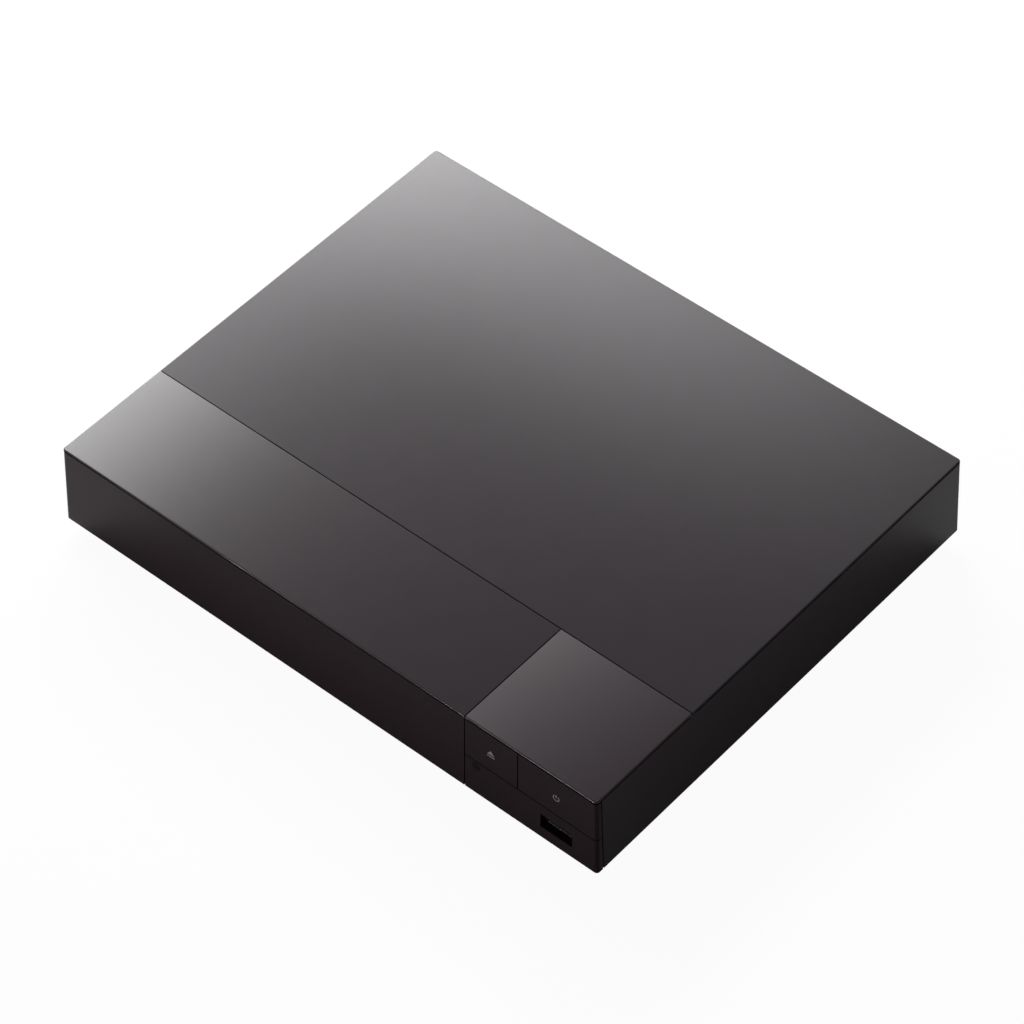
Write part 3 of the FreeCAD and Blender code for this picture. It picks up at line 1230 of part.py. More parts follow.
def board_chips():
    hx, hy = heatsink_place()
    middle = BOARD_WIDTH / 2
    side = HEATSINK[0] * CHIP_SHARE
    chips = [on_board(hx, hy, (side, side, CHIP_HEIGHT))]
    for way in (-1, 1):
        chips.append(on_board(middle + way * MEMORY_SPREAD, hy + HEATSINK[1], MEMORY_CHIP))
    chips.append(on_board(middle + POWER_SPREAD, hy - HEATSINK[1], DRIVER_CHIP))
    chips.append(on_board(middle - POWER_SPREAD, hy - HEATSINK[1], POWER_COIL))
    for i in range(SMALL_COILS):
        x = middle + (i - (SMALL_COILS - 1) / 2) * SMALL_COIL_PITCH
        chips.append(on_board(x, hy - HEATSINK[1] - SMALL_COIL_ROW, SMALL_COIL))
    return group(chips)


def heatsink():
    hx, hy = heatsink_place()
    x, y = X_BOARD + hx, Y_BOARD + hy
    z = Z_BOARD_TOP + CHIP_HEIGHT
    pieces = [block(centred(x, HEATSINK[0] / 2), centred(y, HEATSINK[1] / 2), (z, z + HEATSINK_BASE))]
    step = (HEATSINK[0] - HEATSINK_FIN[0]) / (HEATSINK_FINS - 1)
    for fin in range(HEATSINK_FINS):
        x0 = x - HEATSINK[0] / 2 + fin * step
        pieces.append(block((x0, x0 + HEATSINK_FIN[0]), centred(y, HEATSINK[1] / 2),
                            (z, z + HEATSINK_BASE + HEATSINK_FIN[1])))
    return join(pieces)


def capacitors():
    hy = heatsink_place()[1]
    rise, width, depth = CAPACITOR_NECK
    cans = []
    for i in range(CAPACITORS):
        x = X_BOARD_END - BOARD_SCREW_INSET - CAPACITOR_RADIUS
        y = Y_BOARD + hy + (i - (CAPACITORS - 1) / 2) * (2 * CAPACITOR_RADIUS + CAPACITOR_GAP)
        can = post(x, y, Z_BOARD_TOP, Z_BOARD_TOP + CAPACITOR_HEIGHT, CAPACITOR_RADIUS)
        ring = post(x, y, Z_BOARD_TOP + rise, Z_BOARD_TOP + rise + width, CAPACITOR_RADIUS + depth)
        cans.append(can.cut(ring.cut(post(x, y, 0, Z_TOP, CAPACITOR_RADIUS - depth))))
    return group(cans)


def socket_block(from_end, size, reach):
    x = socket_x(from_end)
    y = Y_PANEL + PANEL_THICK + reach
    return block(centred(x, size[0] / 2), (y - size[1], y), (Z_BOARD_TOP, Z_BOARD_TOP + size[2])), x, y


def hdmi_socket():
    body, x, y = socket_block(HDMI_X, HDMI_SIZE, CUTOUT_GAP)
    z = Z_BOARD_TOP + HDMI_SIZE[2] / 2
    inside = block(centred(x, HDMI_SIZE[0] / 2 - HDMI_SHEET), (y - HDMI_SIZE[1] + SOCKET_BACK, y),
                   centred(z, HDMI_SIZE[2] / 2 - HDMI_SHEET))
    tongue = block(centred(x, HDMI_TONGUE[0] / 2), (y - HDMI_SIZE[1], y - SOCKET_BACK),
                   centred(z, HDMI_TONGUE[1] / 2))
    return join([body.cut(inside), tongue])


def lan_socket():
    body, x, y = socket_block(LAN_X, LAN_SIZE, CUTOUT_GAP)
    z = Z_BOARD_TOP + LAN_SIZE[2] / 2
    inside = block(centred(x, LAN_OPENING[0] / 2), (y - LAN_DEPTH, y), centred(z, LAN_OPENING[1] / 2))
    notch_z = z + LAN_OPENING[1] / 2
    notch = block(centred(x, LATCH_NOTCH[0] / 2), (y - LAN_DEPTH, y), (z, notch_z + LATCH_NOTCH[1]))
    return body.cut(join([inside, notch]))


def coax_jack():
    body, x, y = socket_block(COAX_X, COAX_SIZE, -PANEL_THICK)
    z = Z_BOARD_TOP + COAX_SIZE[2] / 2
    tip = Y_REAR + JACK_REACH
    start = (x, y - COAX_SIZE[1] / 2, z)
    barrel = rod(start, (0, 1, 0), tip - start[1], COAX_RADIUS)
    hollow = rod(start, (0, 1, 0), tip - start[1], COAX_RADIUS - COAX_WALL)
    core = rod(start, (0, 1, 0), tip - COAX_RECESS - start[1], COAX_RADIUS - COAX_WALL)
    pin_hole = rod((x, y, z), (0, 1, 0), tip - y, COAX_BORE)
    shell = join([body, barrel]).cut(rod((x, y, z), (0, 1, 0), tip - y, COAX_RADIUS - COAX_WALL))
    core = core.common(rod((x, y, z), (0, 1, 0), tip - y, COAX_RADIUS))
    return group([shell, core.cut(pin_hole)])


def dc_jack():
    body, x, y = socket_block(DC_X, DC_SIZE, CUTOUT_GAP)
    z = Z_BOARD_TOP + DC_SIZE[2] / 2
    bore = rod((x, y - DC_DEPTH, z), (0, 1, 0), DC_DEPTH, DC_BORE)
    pin = rod((x, y - DC_DEPTH - SOCKET_BACK, z), (0, 1, 0), DC_DEPTH, DC_PIN)
    return join([body.cut(bore), pin])


def front_board_limits():
    x = (X_BLOCK + BOARD_SCREW_INSET, inner_half(Z_CEILING, WALL) - FRONT_BOARD_ROOM)
    return x, (Z_RIM + 2 * FRONT_BOARD_ROOM, Z_CEILING - 2 * FRONT_BOARD_ROOM)


def front_board():
    x, z = front_board_limits()
    board = block(x, (Y_FRONT_BOARD, Y_FRONT_BOARD + BOARD_THICK), z)
    holes = [rod((px, Y_FRONT_BOARD, pz), (0, 1, 0), BOARD_THICK, SCREW_RADIUS + SCREW_CLEARANCE)
             for px, pz in front_board_posts()]
    return board.cut(group(holes))


def usb_socket():
    x, z = usb_centre()
    y0, y1 = Y_SKIN + USB_MOUTH_GAP, Y_FRONT_BOARD
    shell = block(centred(x, USB_SHELL[0] / 2), (y0, y1), centred(z, USB_SHELL[1] / 2))
    inside = block(centred(x, USB_SHELL[0] / 2 - USB_SHEET), (y0, y1 - USB_SHEET),
                   centred(z, USB_SHELL[1] / 2 - USB_SHEET))
    tongue = block(centred(x, USB_TONGUE[0] / 2), (y1 - USB_SHEET - USB_TONGUE[2], y1 - USB_SHEET),
                   centred(z + USB_TONGUE_RISE, USB_TONGUE[1] / 2))
    return join([shell.cut(inside), tongue])


def switch_bodies(x):
    z = Z_BODY + KEY_ICON_HEIGHT
    body = block(centred(x, SWITCH_SIZE / 2), (Y_FRONT_BOARD - SWITCH_HEIGHT, Y_FRONT_BOARD),
                 centred(z, SWITCH_SIZE / 2))
    well = rod((x, Y_FRONT_BOARD - SWITCH_HEIGHT, z), (0, 1, 0), PLUNGER_IN + KEY_TRAVEL + FIT_GAP,
               PLUNGER_RADIUS + POST_GAP)
    return body.cut(well)


def tact_switches():
    return group([switch_bodies(eject_post_x()), switch_bodies(power_post_x())])


def plunger(x):
    z = Z_BODY + KEY_ICON_HEIGHT
    return rod((x, post_end(), z), (0, 1, 0), PLUNGER_REACH + PLUNGER_IN, PLUNGER_RADIUS)


def ir_receiver():
    x, z = window_centre()
    front = Y_FRAME_BACK - RECEIVER_REACH
    body = block(centred(x, RECEIVER[0] / 2 - FIT_GAP), (front, Y_FRONT_BOARD),
                 centred(z, RECEIVER[1] / 2 - FIT_GAP))
    eye = rod((x, front - RECEIVER_EYE, z), (0, 1, 0), 2 * RECEIVER_EYE, WINDOW_RADIUS)
    return join([body, eye])


def ribbon(x, path):
    """A flat cable of even width along a path of Y and Z points, each stretch square to X."""
    pieces = []
    half = CABLE_THICK / 2
    for (y0, z0), (y1, z1) in zip(path, path[1:]):
        ys, zs = sorted((y0, y1)), sorted((z0, z1))
        pieces.append(block(centred(x, CABLE_WIDTH / 2), (ys[0] - half, ys[1] + half),
                            (zs[0] - half, zs[1] + half)))
    return join(pieces)


def front_cable():
    x = X_BOARD + BOARD_WIDTH / 2
    y0 = Y_FRONT_BOARD + BOARD_THICK
    z0 = Z_BODY + KEY_ICON_HEIGHT
    plug = block(centred(x, CABLE_PLUG[0] / 2), (y0, y0 + CABLE_PLUG[1]), centred(z0, CABLE_PLUG[2] / 2))
    y1 = Y_BOARD + BOARD_SCREW_INSET
    end = block(centred(x, CABLE_PLUG[0] / 2), centred(y1, CABLE_PLUG[2] / 2),
                (Z_BOARD_TOP, Z_BOARD_TOP + CABLE_PLUG[1]))
    path = [(y0 + CABLE_PLUG[1], z0), (y1, z0), (y1, Z_BOARD_TOP + CABLE_PLUG[1])]
    return join([plug, end, ribbon(x, path)])


def pickup_flex():
    """The pickup's flat cable: down and back, folded to the right under the loader and up to the board."""
    t = CABLE_THICK
    half = FLEX_WIDTH / 2
    low = sled_levels()[0]
    y0 = Y_LENS + SLED_HALF_LENGTH - RUN_GAP
    y1 = y0 + FLEX_RUN
    z1 = (Z_PAN + Z_LOADER) / 2 - t
    x1 = X_BOARD - 3 * t
    z2 = Z_BOARD_TOP + FLEX_PLUG_HEIGHT - t
    drop = block(centred(X_DISC, half), (y0 - t, y0), (z1, low))
    back = block(centred(X_DISC, half), (y0 - t, y1), (z1, z1 + t))
    fold = block((X_DISC - half, x1 + t), (y1 - half, y1), (z1 + t, z1 + 2 * t))
    rise = block((x1, x1 + t), (y1 - half, y1), (z1 + t, z2))
    over = block((x1, X_BOARD + half), (y1 - half, y1), (z2 - t, z2))
    plug = block(centred(X_BOARD + half, half / 2), centred(y1 - half / 2, half / 2 + FLEX_PLUG_EDGE),
                 (Z_BOARD_TOP, Z_BOARD_TOP + FLEX_PLUG_HEIGHT))
    return join([drop, back, fold, rise, over, plug])


PIECES = {
    "upper_case": upper_case, "top_panel": top_panel, "front_top_strip": front_top_strip,
    "corner_block_plate": corner_block_plate, "tray_door": tray_door, "eject_button": eject_button,
    "power_button": power_button, "usb_fascia": usb_fascia,
    "remote_sensor_window": remote_sensor_window, "front_frame": front_frame,
    "bottom_chassis": bottom_chassis, "rubber_feet": rubber_feet, "case_screws": case_screws,
    "rear_panel": rear_panel, "loader_chassis": loader_chassis, "loader_screws": loader_screws,
    "disc_tray": disc_tray, "clamp_bridge": clamp_bridge, "clamper": clamper,
    "bridge_screws": bridge_screws, "clamper_magnet": clamper_magnet,
    "traverse_frame": traverse_frame, "pivot_bushes": pivot_bushes,
    "spindle_motor": spindle_motor, "spindle_rotor": spindle_rotor, "turntable": turntable,
    "guide_rods": guide_rods, "pickup_sled": pickup_sled, "lens_holder": lens_holder,
    "objective_lens": objective_lens, "sled_motor": sled_motor, "lead_screw": lead_screw,
    "loading_motor": loading_motor, "motor_pulley": motor_pulley, "drive_belt": drive_belt,
    "belt_pulley_gear": belt_pulley_gear, "idler_gear": idler_gear,
    "tray_drive_gear": tray_drive_gear, "cam_slider": cam_slider, "tray_switch": tray_switch,
    "main_board": main_board, "board_screws": board_screws, "board_chips": board_chips,
    "heatsink": heatsink, "capacitors": capacitors, "hdmi_socket": hdmi_socket,
    "lan_socket": lan_socket, "coax_jack": coax_jack, "dc_jack": dc_jack, "front_board": front_board,
    "usb_socket": usb_socket, "tact_switches": tact_switches,
    "eject_plunger": lambda: plunger(eject_post_x()), "power_plunger": lambda: plunger(power_post_x()),
    "ir_receiver": ir_receiver, "front_cable": front_cable, "pickup_flex": pickup_flex,
}


def main():
    os.makedirs("parts", exist_ok=True)
    for name, make in PIECES.items():
        save(name, make())


main()
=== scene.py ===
import bpy
import bmesh
import json
import math
from mathutils import Matrix, Vector


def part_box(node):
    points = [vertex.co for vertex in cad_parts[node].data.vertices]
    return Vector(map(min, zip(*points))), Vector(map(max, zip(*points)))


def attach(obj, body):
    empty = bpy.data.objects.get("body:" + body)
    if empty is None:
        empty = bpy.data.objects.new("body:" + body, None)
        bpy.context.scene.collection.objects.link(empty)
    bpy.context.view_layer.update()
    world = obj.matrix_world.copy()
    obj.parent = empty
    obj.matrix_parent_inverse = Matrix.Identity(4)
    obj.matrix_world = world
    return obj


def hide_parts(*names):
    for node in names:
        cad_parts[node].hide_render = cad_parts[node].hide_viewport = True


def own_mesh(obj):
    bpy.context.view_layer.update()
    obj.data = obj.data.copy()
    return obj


# A compact disc player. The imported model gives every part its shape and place, in metres, and this
# script gives the finishes, the small marks and details, the light and the camera. Details are drawn
# in millimetres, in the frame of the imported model.

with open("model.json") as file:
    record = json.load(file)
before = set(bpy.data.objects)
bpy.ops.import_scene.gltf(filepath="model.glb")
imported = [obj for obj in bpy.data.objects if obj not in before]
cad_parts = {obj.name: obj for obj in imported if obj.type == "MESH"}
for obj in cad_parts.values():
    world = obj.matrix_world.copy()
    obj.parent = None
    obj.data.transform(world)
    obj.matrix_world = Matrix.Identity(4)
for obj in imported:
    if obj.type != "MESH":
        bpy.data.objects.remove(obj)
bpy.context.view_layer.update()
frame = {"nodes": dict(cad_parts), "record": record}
NODES = frame["nodes"]
MM = 0.001

# The photograph's camera, worked out from the casing's corners in its 1024 x 1024 frame
FOCAL_PIXELS = 4284.5
FRAME_PIXELS = 1024
SENSOR = 36.0
CAMERA_PLACE = (0.62176, -0.71558, 1.06954)
CAMERA_RIGHT = (0.7594824, 0.65047396, -0.00837289)
CAMERA_DOWN = (0.48101838, -0.57020105, -0.66595201)
CAMERA_AHEAD = (-0.43795867, 0.50175132, -0.7459476)

# Light: two soft boxes that hang level behind on the left and fade towards their edges, each with its
# middle, its size in metres, its watts and the share of it that fades; and one small fill ahead
TOP_BOXES = {
    "low_box": ((-0.677, 0.489, 0.435), (1.37, 0.436), 32.0, 0.70),
    "high_box": ((-0.793, 0.499, 0.722), (0.552, 1.611), 40.0, 0.63),
}
EDGE_FILL = ((-0.26, -1.01, 0.12), (0.16, 0.2), 3.2)
AIM = (0.0, 0.0, 0.02)
SURROUND = 0.12

# Floor: its colour, how much of it shines to the eye by itself, and how much of it in reflections
FLOOR_SIZE = 8.0
FLOOR_DROP = 0.0001
FLOOR_COLOUR = 0.85
FLOOR_GLOW = 0.95
GLOSSY_GLOW = 0.08

# Marks on the keys, in millimetres: places in a mark are measured from its middle, and MARK_HEIGHT is
# measured up the front face
MARK_LIFT = 0.04
MARK_SINK = 0.05
MARK_WIDTH = 3.0
MARK_LINE = 0.42
MARK_HEIGHT = 23.6
EJECT_FOOT = -0.2
EJECT_PEAK = 1.1
EJECT_BAR = (-1.3, -0.8)
POWER_MARK_RADIUS = 1.35
POWER_MARK_OPENING = 70.0
POWER_STROKE = (0.1, 1.6)

# Sockets, in millimetres: how far each tongue stands back from its socket's sides, front and rear, the
# tongues' heights, the inner radius of the jack's sleeve and the radius of the pin in the power inlet
USB_TONGUE_INSET = (0.5, 4.0, 0.3)
USB_TONGUE_TALL = 2.4
HDMI_TONGUE_INSET = (0.6, 1.0, 0.3)
HDMI_TONGUE_HALF = 0.7
SLEEVE_INNER = 3.35
INLET_PIN_RADIUS = 1.15

# Main board, in millimetres: the driver chip stands ahead of the heatsink and beside the board's middle
# line, two memory chips stand as far behind the heatsink, one to each side of that line, and each chip
# has a dot so far to the left of its middle and behind it. Then the row of capacitors.
CHIPS_AWAY = 26.0
DRIVER_ASIDE = 14.25
DRIVER_DOT = (3.0, 3.0)
MEMORY_ASIDE = 9.5
MEMORY_DOT = (3.4, 5.4)
CHIP_TALL = 1.2
CAN_RADIUS = 3.2
CAN_COUNT = 4


def corners(node):
    """The lowest and highest corner of a CAD node, in millimetres."""
    return [[c / MM for c in corner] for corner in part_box(node)]


def middle(node):
    low, high = corners(node)
    return [(a + b) / 2 for a, b in zip(low, high)]


class Shape:
    """Solids gathered in one mesh, in millimetres, which become one piece."""

    def __init__(self):
        self.mesh = bmesh.new()

    def block(self, low, high, bevel=0.0):
        made = bmesh.ops.create_cube(self.mesh, size=1.0)["verts"]
        for vertex in made:
            vertex.co = [a + (c + 0.5) * (b - a) for a, b, c in zip(low, high, vertex.co)]
        if bevel:
            edges = list({edge for vertex in made for edge in vertex.link_edges})
            bmesh.ops.bevel(self.mesh, geom=edges, offset=bevel, segments=2, profile=0.5, affect="EDGES")

    def turned(self, foot, profile, axis=(0, 0, 1), steps=32):
        """Turns a profile of (radius, height) points about an axis through foot."""
        turn = Vector(axis).to_track_quat("Z", "Y").to_matrix()
        rings = []
        for radius, height in profile:
            angles = [2 * math.pi * i / steps for i in range(steps)]
            ring = [Vector((radius * math.cos(a), radius * math.sin(a), height)) for a in angles]
            rings.append([self.mesh.verts.new(Vector(foot) + turn @ point) for point in ring])
        for low, high in zip(rings, rings[1:]):
            for i in range(steps):
                j = (i + 1) % steps
                self.mesh.faces.new((low[i], low[j], high[j], high[i]))
        self.mesh.faces.new(reversed(rings[0]))
        self.mesh.faces.new(rings[-1])

    def prism(self, origin, across, up, outline, depth):
        """Draws an outline in the plane of across and up out to both depths along its normal."""
        across, up = Vector(across), Vector(up)
        normal = across.cross(up).normalized()
        near, far = [[self.mesh.verts.new(Vector(origin) + across * u + up * v + normal * d)
                      for u, v in outline] for d in depth]
        count = len(outline)
        for i in range(count):
            j = (i + 1) % count
            self.mesh.faces.new((near[i], near[j], far[j], far[i]))
        self.mesh.faces.new(reversed(near))
        self.mesh.faces.new(far)

    def piece(self, name, body, finish, slot=None):
        bmesh.ops.recalc_face_normals(self.mesh, faces=self.mesh.faces)
        bmesh.ops.scale(self.mesh, vec=(MM, MM, MM), verts=self.mesh.verts)
        data = bpy.data.meshes.new(name)
        self.mesh.to_mesh(data)
        self.mesh.free()
        data.shade_smooth()
        data.set_sharp_from_angle(angle=math.radians(35))
        data.materials.append(finish)
        made = bpy.data.objects.new(name, data)
        bpy.context.scene.collection.objects.link(made)
        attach(made, body)
        return made


class Material:
    """A Principled material whose nodes are added by short calls."""

    def __init__(self, name, colour, roughness, metallic=0.0, specular=0.5, **fixed):
        self.data = bpy.data.materials.new(name)
        self.data.use_nodes = True
        self.tree = self.data.node_tree
        self.shader = self.tree.nodes["Principled BSDF"]
        self.colour = colour
        self.shader.inputs["Base Color"].default_value = (*colour, 1.0)
        self.shader.inputs["Roughness"].default_value = roughness
        self.shader.inputs["Metallic"].default_value = metallic
        self.shader.inputs["Specular IOR Level"].default_value = specular
        for socket, value in fixed.items():
            self.shader.inputs[socket.replace("_", " ")].default_value = value
        self.place = self.add("ShaderNodeTexCoord").outputs["Object"]
        self.paint = None
        self.height = None

    def add(self, kind, inputs=(), **settings):
        node = self.tree.nodes.new(kind)
        for key, value in settings.items():
            setattr(node, key, value)
        for key, value in dict(inputs).items():
            socket = node.inputs[key]
            if isinstance(value, bpy.types.NodeSocket):
                self.tree.links.new(value, socket)
            else:
                socket.default_value = value
        return node

    def sum(self, operation, first, second, third=0.0):
        return self.add("ShaderNodeMath", {0: first, 1: second, 2: third}, operation=operation).outputs[0]

    def axes(self):
        return self.add("ShaderNodeSeparateXYZ", {"Vector": self.place}).outputs

    def noise(self, size, detail=2.0, stretch=None):
        """A noise from 0 to 1 whose patches are about size metres across."""
        vector = self.place
        if stretch:
            vector = self.add("ShaderNodeMapping", {"Vector": vector, "Scale": stretch}).outputs["Vector"]
        node = self.add("ShaderNodeTexNoise", {"Vector": vector, "Scale": 1.0 / size, "Detail": detail})
        return node.outputs["Fac"]

    def spread(self, value, low, high, start=0.3, end=0.7):
        node = self.add("ShaderNodeMapRange", {"Value": value, "From Min": start, "From Max": end,
                                               "To Min": low, "To Max": high})
        return node.outputs["Result"]

    def inside(self, low, high):
        """1 within a box between two corners in millimetres, 0 outside it."""
        total = 1.0
        for value, a, b in zip(self.axes(), low, high):
            within = self.sum("COMPARE", value, (a + b) / 2 * MM, (b - a) / 2 * MM)
            total = self.sum("MULTIPLY", within, total)
        return total

    def within_radius(self, centre, radius, keep=(1.0, 0.0, 1.0)):
        """1 nearer than radius to an axis through centre, in millimetres."""
        shift = self.add("ShaderNodeVectorMath", {0: self.place, 1: [c * MM for c in centre]},
                         operation="SUBTRACT").outputs[0]
        flat = self.add("ShaderNodeVectorMath", {0: shift, 1: keep}, operation="MULTIPLY").outputs[0]
        away = self.add("ShaderNodeVectorMath", {0: flat}, operation="LENGTH").outputs["Value"]
        return self.sum("LESS_THAN", away, radius * MM)

    def lines(self, axis, pitch, share):
        """1 on lines across an axis, each a share of the pitch in millimetres wide."""
        part = self.sum("FRACT", self.sum("DIVIDE", self.axes()[axis], pitch * MM), 0.0)
        return self.sum("LESS_THAN", part, share)

    def mix(self, amount, colour, mode="MIX"):
        """Lays a colour over the paint by an amount that is a number or a socket."""
        node = self.add("ShaderNodeMix", data_type="RGBA", blend_type=mode)
        if self.paint is None:
            node.inputs[6].default_value = (*self.colour, 1.0)
        else:
            self.tree.links.new(self.paint, node.inputs[6])
        if isinstance(amount, bpy.types.NodeSocket):
            self.tree.links.new(amount, node.inputs[0])
        else:
            node.inputs[0].default_value = amount
        node.inputs[7].default_value = (*colour, 1.0)
        self.paint = node.outputs[2]
        return self

    def mottle(self, size, depth, detail=3.0, stretch=None):
        """Slight lighter or darker patches in the colour."""
        value = self.spread(self.noise(size, detail, stretch), 0.0, 1.0)
        return self.mix(value, [min(1.0, c * (1.0 + depth)) for c in self.colour])

    def rough(self, size, low, high, detail=3.0, stretch=None):
        value = self.spread(self.noise(size, detail, stretch), low, high)
        self.tree.links.new(value, self.shader.inputs["Roughness"])
        return self

    def metal_where(self, amount, colour, roughness, plain_roughness):
        """Bare metal where amount is 1, and the first finish elsewhere."""
        self.mix(amount, colour)
        self.tree.links.new(amount, self.shader.inputs["Metallic"])
        value = self.spread(amount, plain_roughness, roughness, 0.0, 1.0)
        self.tree.links.new(value, self.shader.inputs["Roughness"])
        return self

    def relief(self, value, distance):
        """Adds a height pattern over what is there."""
        node = self.add("ShaderNodeBump", {"Height": value, "Distance": distance})
        if self.height is not None:
            self.tree.links.new(self.height, node.inputs["Normal"])
        self.height = node.outputs["Normal"]
        return self

    def grain(self, size, distance, detail=2.0, stretch=None):
        return self.relief(self.noise(size, detail, stretch), distance)

    def bulge(self, degrees):
        """Crowns the top plate of the corner block from its left side to its right."""
        low, high = corners("corner_block_plate")
        half = (high[0] - low[0]) / 2 * MM
        away = self.sum("SUBTRACT", self.axes()[0], (low[0] + high[0]) / 2 * MM)
        drop = -math.tan(math.radians(degrees)) / (2 * half)
        return self.relief(self.sum("MULTIPLY", self.sum("MULTIPLY", away, away), drop), 1.0)

    def painted_edge_highlight(self, radius, colour, amount, patch=0.004):
        """A painted highlight: paler colour along the edges, where their rounding would catch the light,
        broken up by a noise.
        """
        bevel = self.add("ShaderNodeBevel", {"Radius": radius}, samples=4)
        flat = self.add("ShaderNodeNewGeometry").outputs["Normal"]
        along = self.add("ShaderNodeVectorMath", {0: bevel.outputs["Normal"], 1: flat},
                         operation="DOT_PRODUCT").outputs["Value"]
        edge = self.spread(along, 1.0, 0.0, 0.75, 0.985)
        broken = self.spread(self.noise(patch), 0.45 * amount, amount)
        return self.mix(self.sum("MULTIPLY", edge, broken), colour)

    def done(self):
        if self.paint is not None:
            self.tree.links.new(self.paint, self.shader.inputs["Base Color"])
        if self.height is not None:
            self.tree.links.new(self.height, self.shader.inputs["Normal"])
        return self.data


def skin(name, colour, roughness, specular, grain=0.0004, depth=0.0000006, crown=0.0):
    """A clean outer face: very fine grain, faint tone patches and a thin painted highlight along the edges.

    A crown in degrees turns the face that much to each side, as on a plate that bulges slightly."""
    made = Material(name, colour, roughness, specular=specular)
    made.mottle(0.012, 0.05).rough(0.003, roughness * 0.98, roughness * 1.02)
    # Painted highlight: paler colour along the edges, standing in for light caught on their rounding.
    made.painted_edge_highlight(0.0003, [c * 1.5 + 0.01 for c in colour], 0.15)
    if crown:
        made.bulge(crown)
    return made.grain(grain, depth).done()


def moulded(name, colour, roughness, specular=0.4, grain=0.0003, depth=0.000005, tone=0.12, **fixed):
    """Moulded plastic or rubber: fine grain, faint tone patches and an uneven gloss."""
    made = Material(name, colour, roughness, specular=specular, **fixed)
    made.mottle(0.009, tone).rough(0.002, roughness * 0.92, roughness * 1.1)
    return made.grain(grain, depth).done()


def metal(name, colour, roughness, stretch=(1.0, 12.0, 12.0), depth=0.000003, tone=-0.14):
    """Bare metal with fine drawn lines and darker handling marks."""
    made = Material(name, colour, roughness, metallic=1.0)
    made.mottle(0.006, tone, stretch=stretch)
    made.rough(0.003, roughness * 0.85, roughness * 1.25, stretch=stretch)
    return made.grain(0.0006, depth, stretch=stretch).done()


def zinc_sheet():
    """Pressed zinc-coated steel: flat crystals a few millimetres across, and fine rolling lines."""
    made = Material("chassis_steel", (0.50, 0.51, 0.52), 0.4, metallic=1.0)
    cells = made.add("ShaderNodeTexVoronoi", {"Vector": made.place, "Scale": 350.0})
    tone = made.add("ShaderNodeSeparateColor", {"Color": cells.outputs["Color"]}).outputs[0]
    made.mix(made.spread(tone, 0.0, 0.5, 0.0, 1.0), (0.40, 0.41, 0.43))
    made.rough(0.004, 0.33, 0.48)
    return made.grain(0.0005, 0.000003, stretch=(1.0, 14.0, 14.0)).done()


def circuit_board():
    """Green lacquer over copper lines that change direction from patch to patch, with tinned pads."""
    made = Material("board_green", (0.010, 0.075, 0.030), 0.34)
    patch = made.add("ShaderNodeTexVoronoi", {"Vector": made.place, "Scale": 110.0}, distance="CHEBYCHEV")
    parts = made.add("ShaderNodeSeparateColor", {"Color": patch.outputs["Color"]}).outputs
    turn = made.sum("GREATER_THAN", parts[0], 0.5)
    shown = made.sum("GREATER_THAN", parts[1], 0.35)
    along = made.sum("MULTIPLY", made.lines(0, 0.9, 0.3), turn)
    across = made.sum("MULTIPLY", made.lines(1, 0.9, 0.3), made.sum("SUBTRACT", 1.0, turn))
    line = made.sum("MULTIPLY", made.sum("MAXIMUM", along, across), shown)
    made.mix(line, (0.022, 0.17, 0.065))
    pads = made.add("ShaderNodeTexVoronoi", {"Vector": made.place, "Scale": 420.0})
    pad = made.sum("LESS_THAN", pads.outputs["Distance"], 0.16)
    made.mix(pad, (0.62, 0.60, 0.55))
    made.rough(0.002, 0.28, 0.42).relief(line, 0.00002)
    return made.grain(0.0004, 0.000004).done()


def can_sleeve(stripe=0.9, stripe_foot=2.2, lid=0.05, margin=1.0):
    """A dark sleeve with a pale stripe down one side and a bare aluminium top."""
    low, high = corners("capacitors")
    made = Material("capacitor_case", (0.012, 0.016, 0.045), 0.32)
    made.mottle(0.003, 0.2)
    made.mix(made.inside((high[0] - stripe, low[1], low[2] + stripe_foot),
                         (high[0] + margin, high[1], high[2])), (0.55, 0.56, 0.58))
    top = made.inside((low[0] - margin, low[1] - margin, high[2] - lid), [c + margin for c in high])
    made.metal_where(top, (0.72, 0.72, 0.73), 0.3, 0.32)
    return made.grain(0.0003, 0.000002).done()


def shell_and_tongue(name, tongues):
    """Sheet metal sockets whose contact tongues, at the given boxes, are black plastic."""
    made = Material(name, (0.62, 0.62, 0.63), 0.24, metallic=1.0)
    made.mottle(0.004, -0.2)
    black = 0.0
    for low, high in tongues:
        black = made.sum("MAXIMUM", made.inside(low, high), black)
    made.mix(black, (0.008, 0.008, 0.009))
    made.tree.links.new(made.sum("SUBTRACT", 1.0, black), made.shader.inputs["Metallic"])
    made.rough(0.002, 0.34, 0.46)
    return made.grain(0.0005, 0.000002).done()


def jack_finish(margin=1.0):
    """An orange insert in a plated sleeve."""
    low, high = corners("coax_jack")
    made = Material("jack_orange", (0.80, 0.20, 0.025), 0.38)
    made.mottle(0.004, 0.1)
    core = made.within_radius(middle("coax_jack"), SLEEVE_INNER)
    barrel = made.inside((low[0] - margin, PANEL_FACE, low[2] - margin), [c + margin for c in high])
    sleeve = made.sum("MULTIPLY", barrel, made.sum("SUBTRACT", 1.0, core))
    made.metal_where(sleeve, (0.68, 0.66, 0.62), 0.2, 0.38)
    return made.grain(0.0004, 0.000003).done()


def socket_plastic():
    """Black socket bodies, and the plated pin in the middle of the power inlet."""
    made = Material("socket_black", (0.012, 0.012, 0.013), 0.42, specular=0.35)
    made.mottle(0.004, 0.15)
    pin = made.within_radius(middle("dc_jack"), INLET_PIN_RADIUS)
    made.metal_where(pin, (0.66, 0.65, 0.62), 0.2, 0.42)
    return made.grain(0.0003, 0.000004).done()


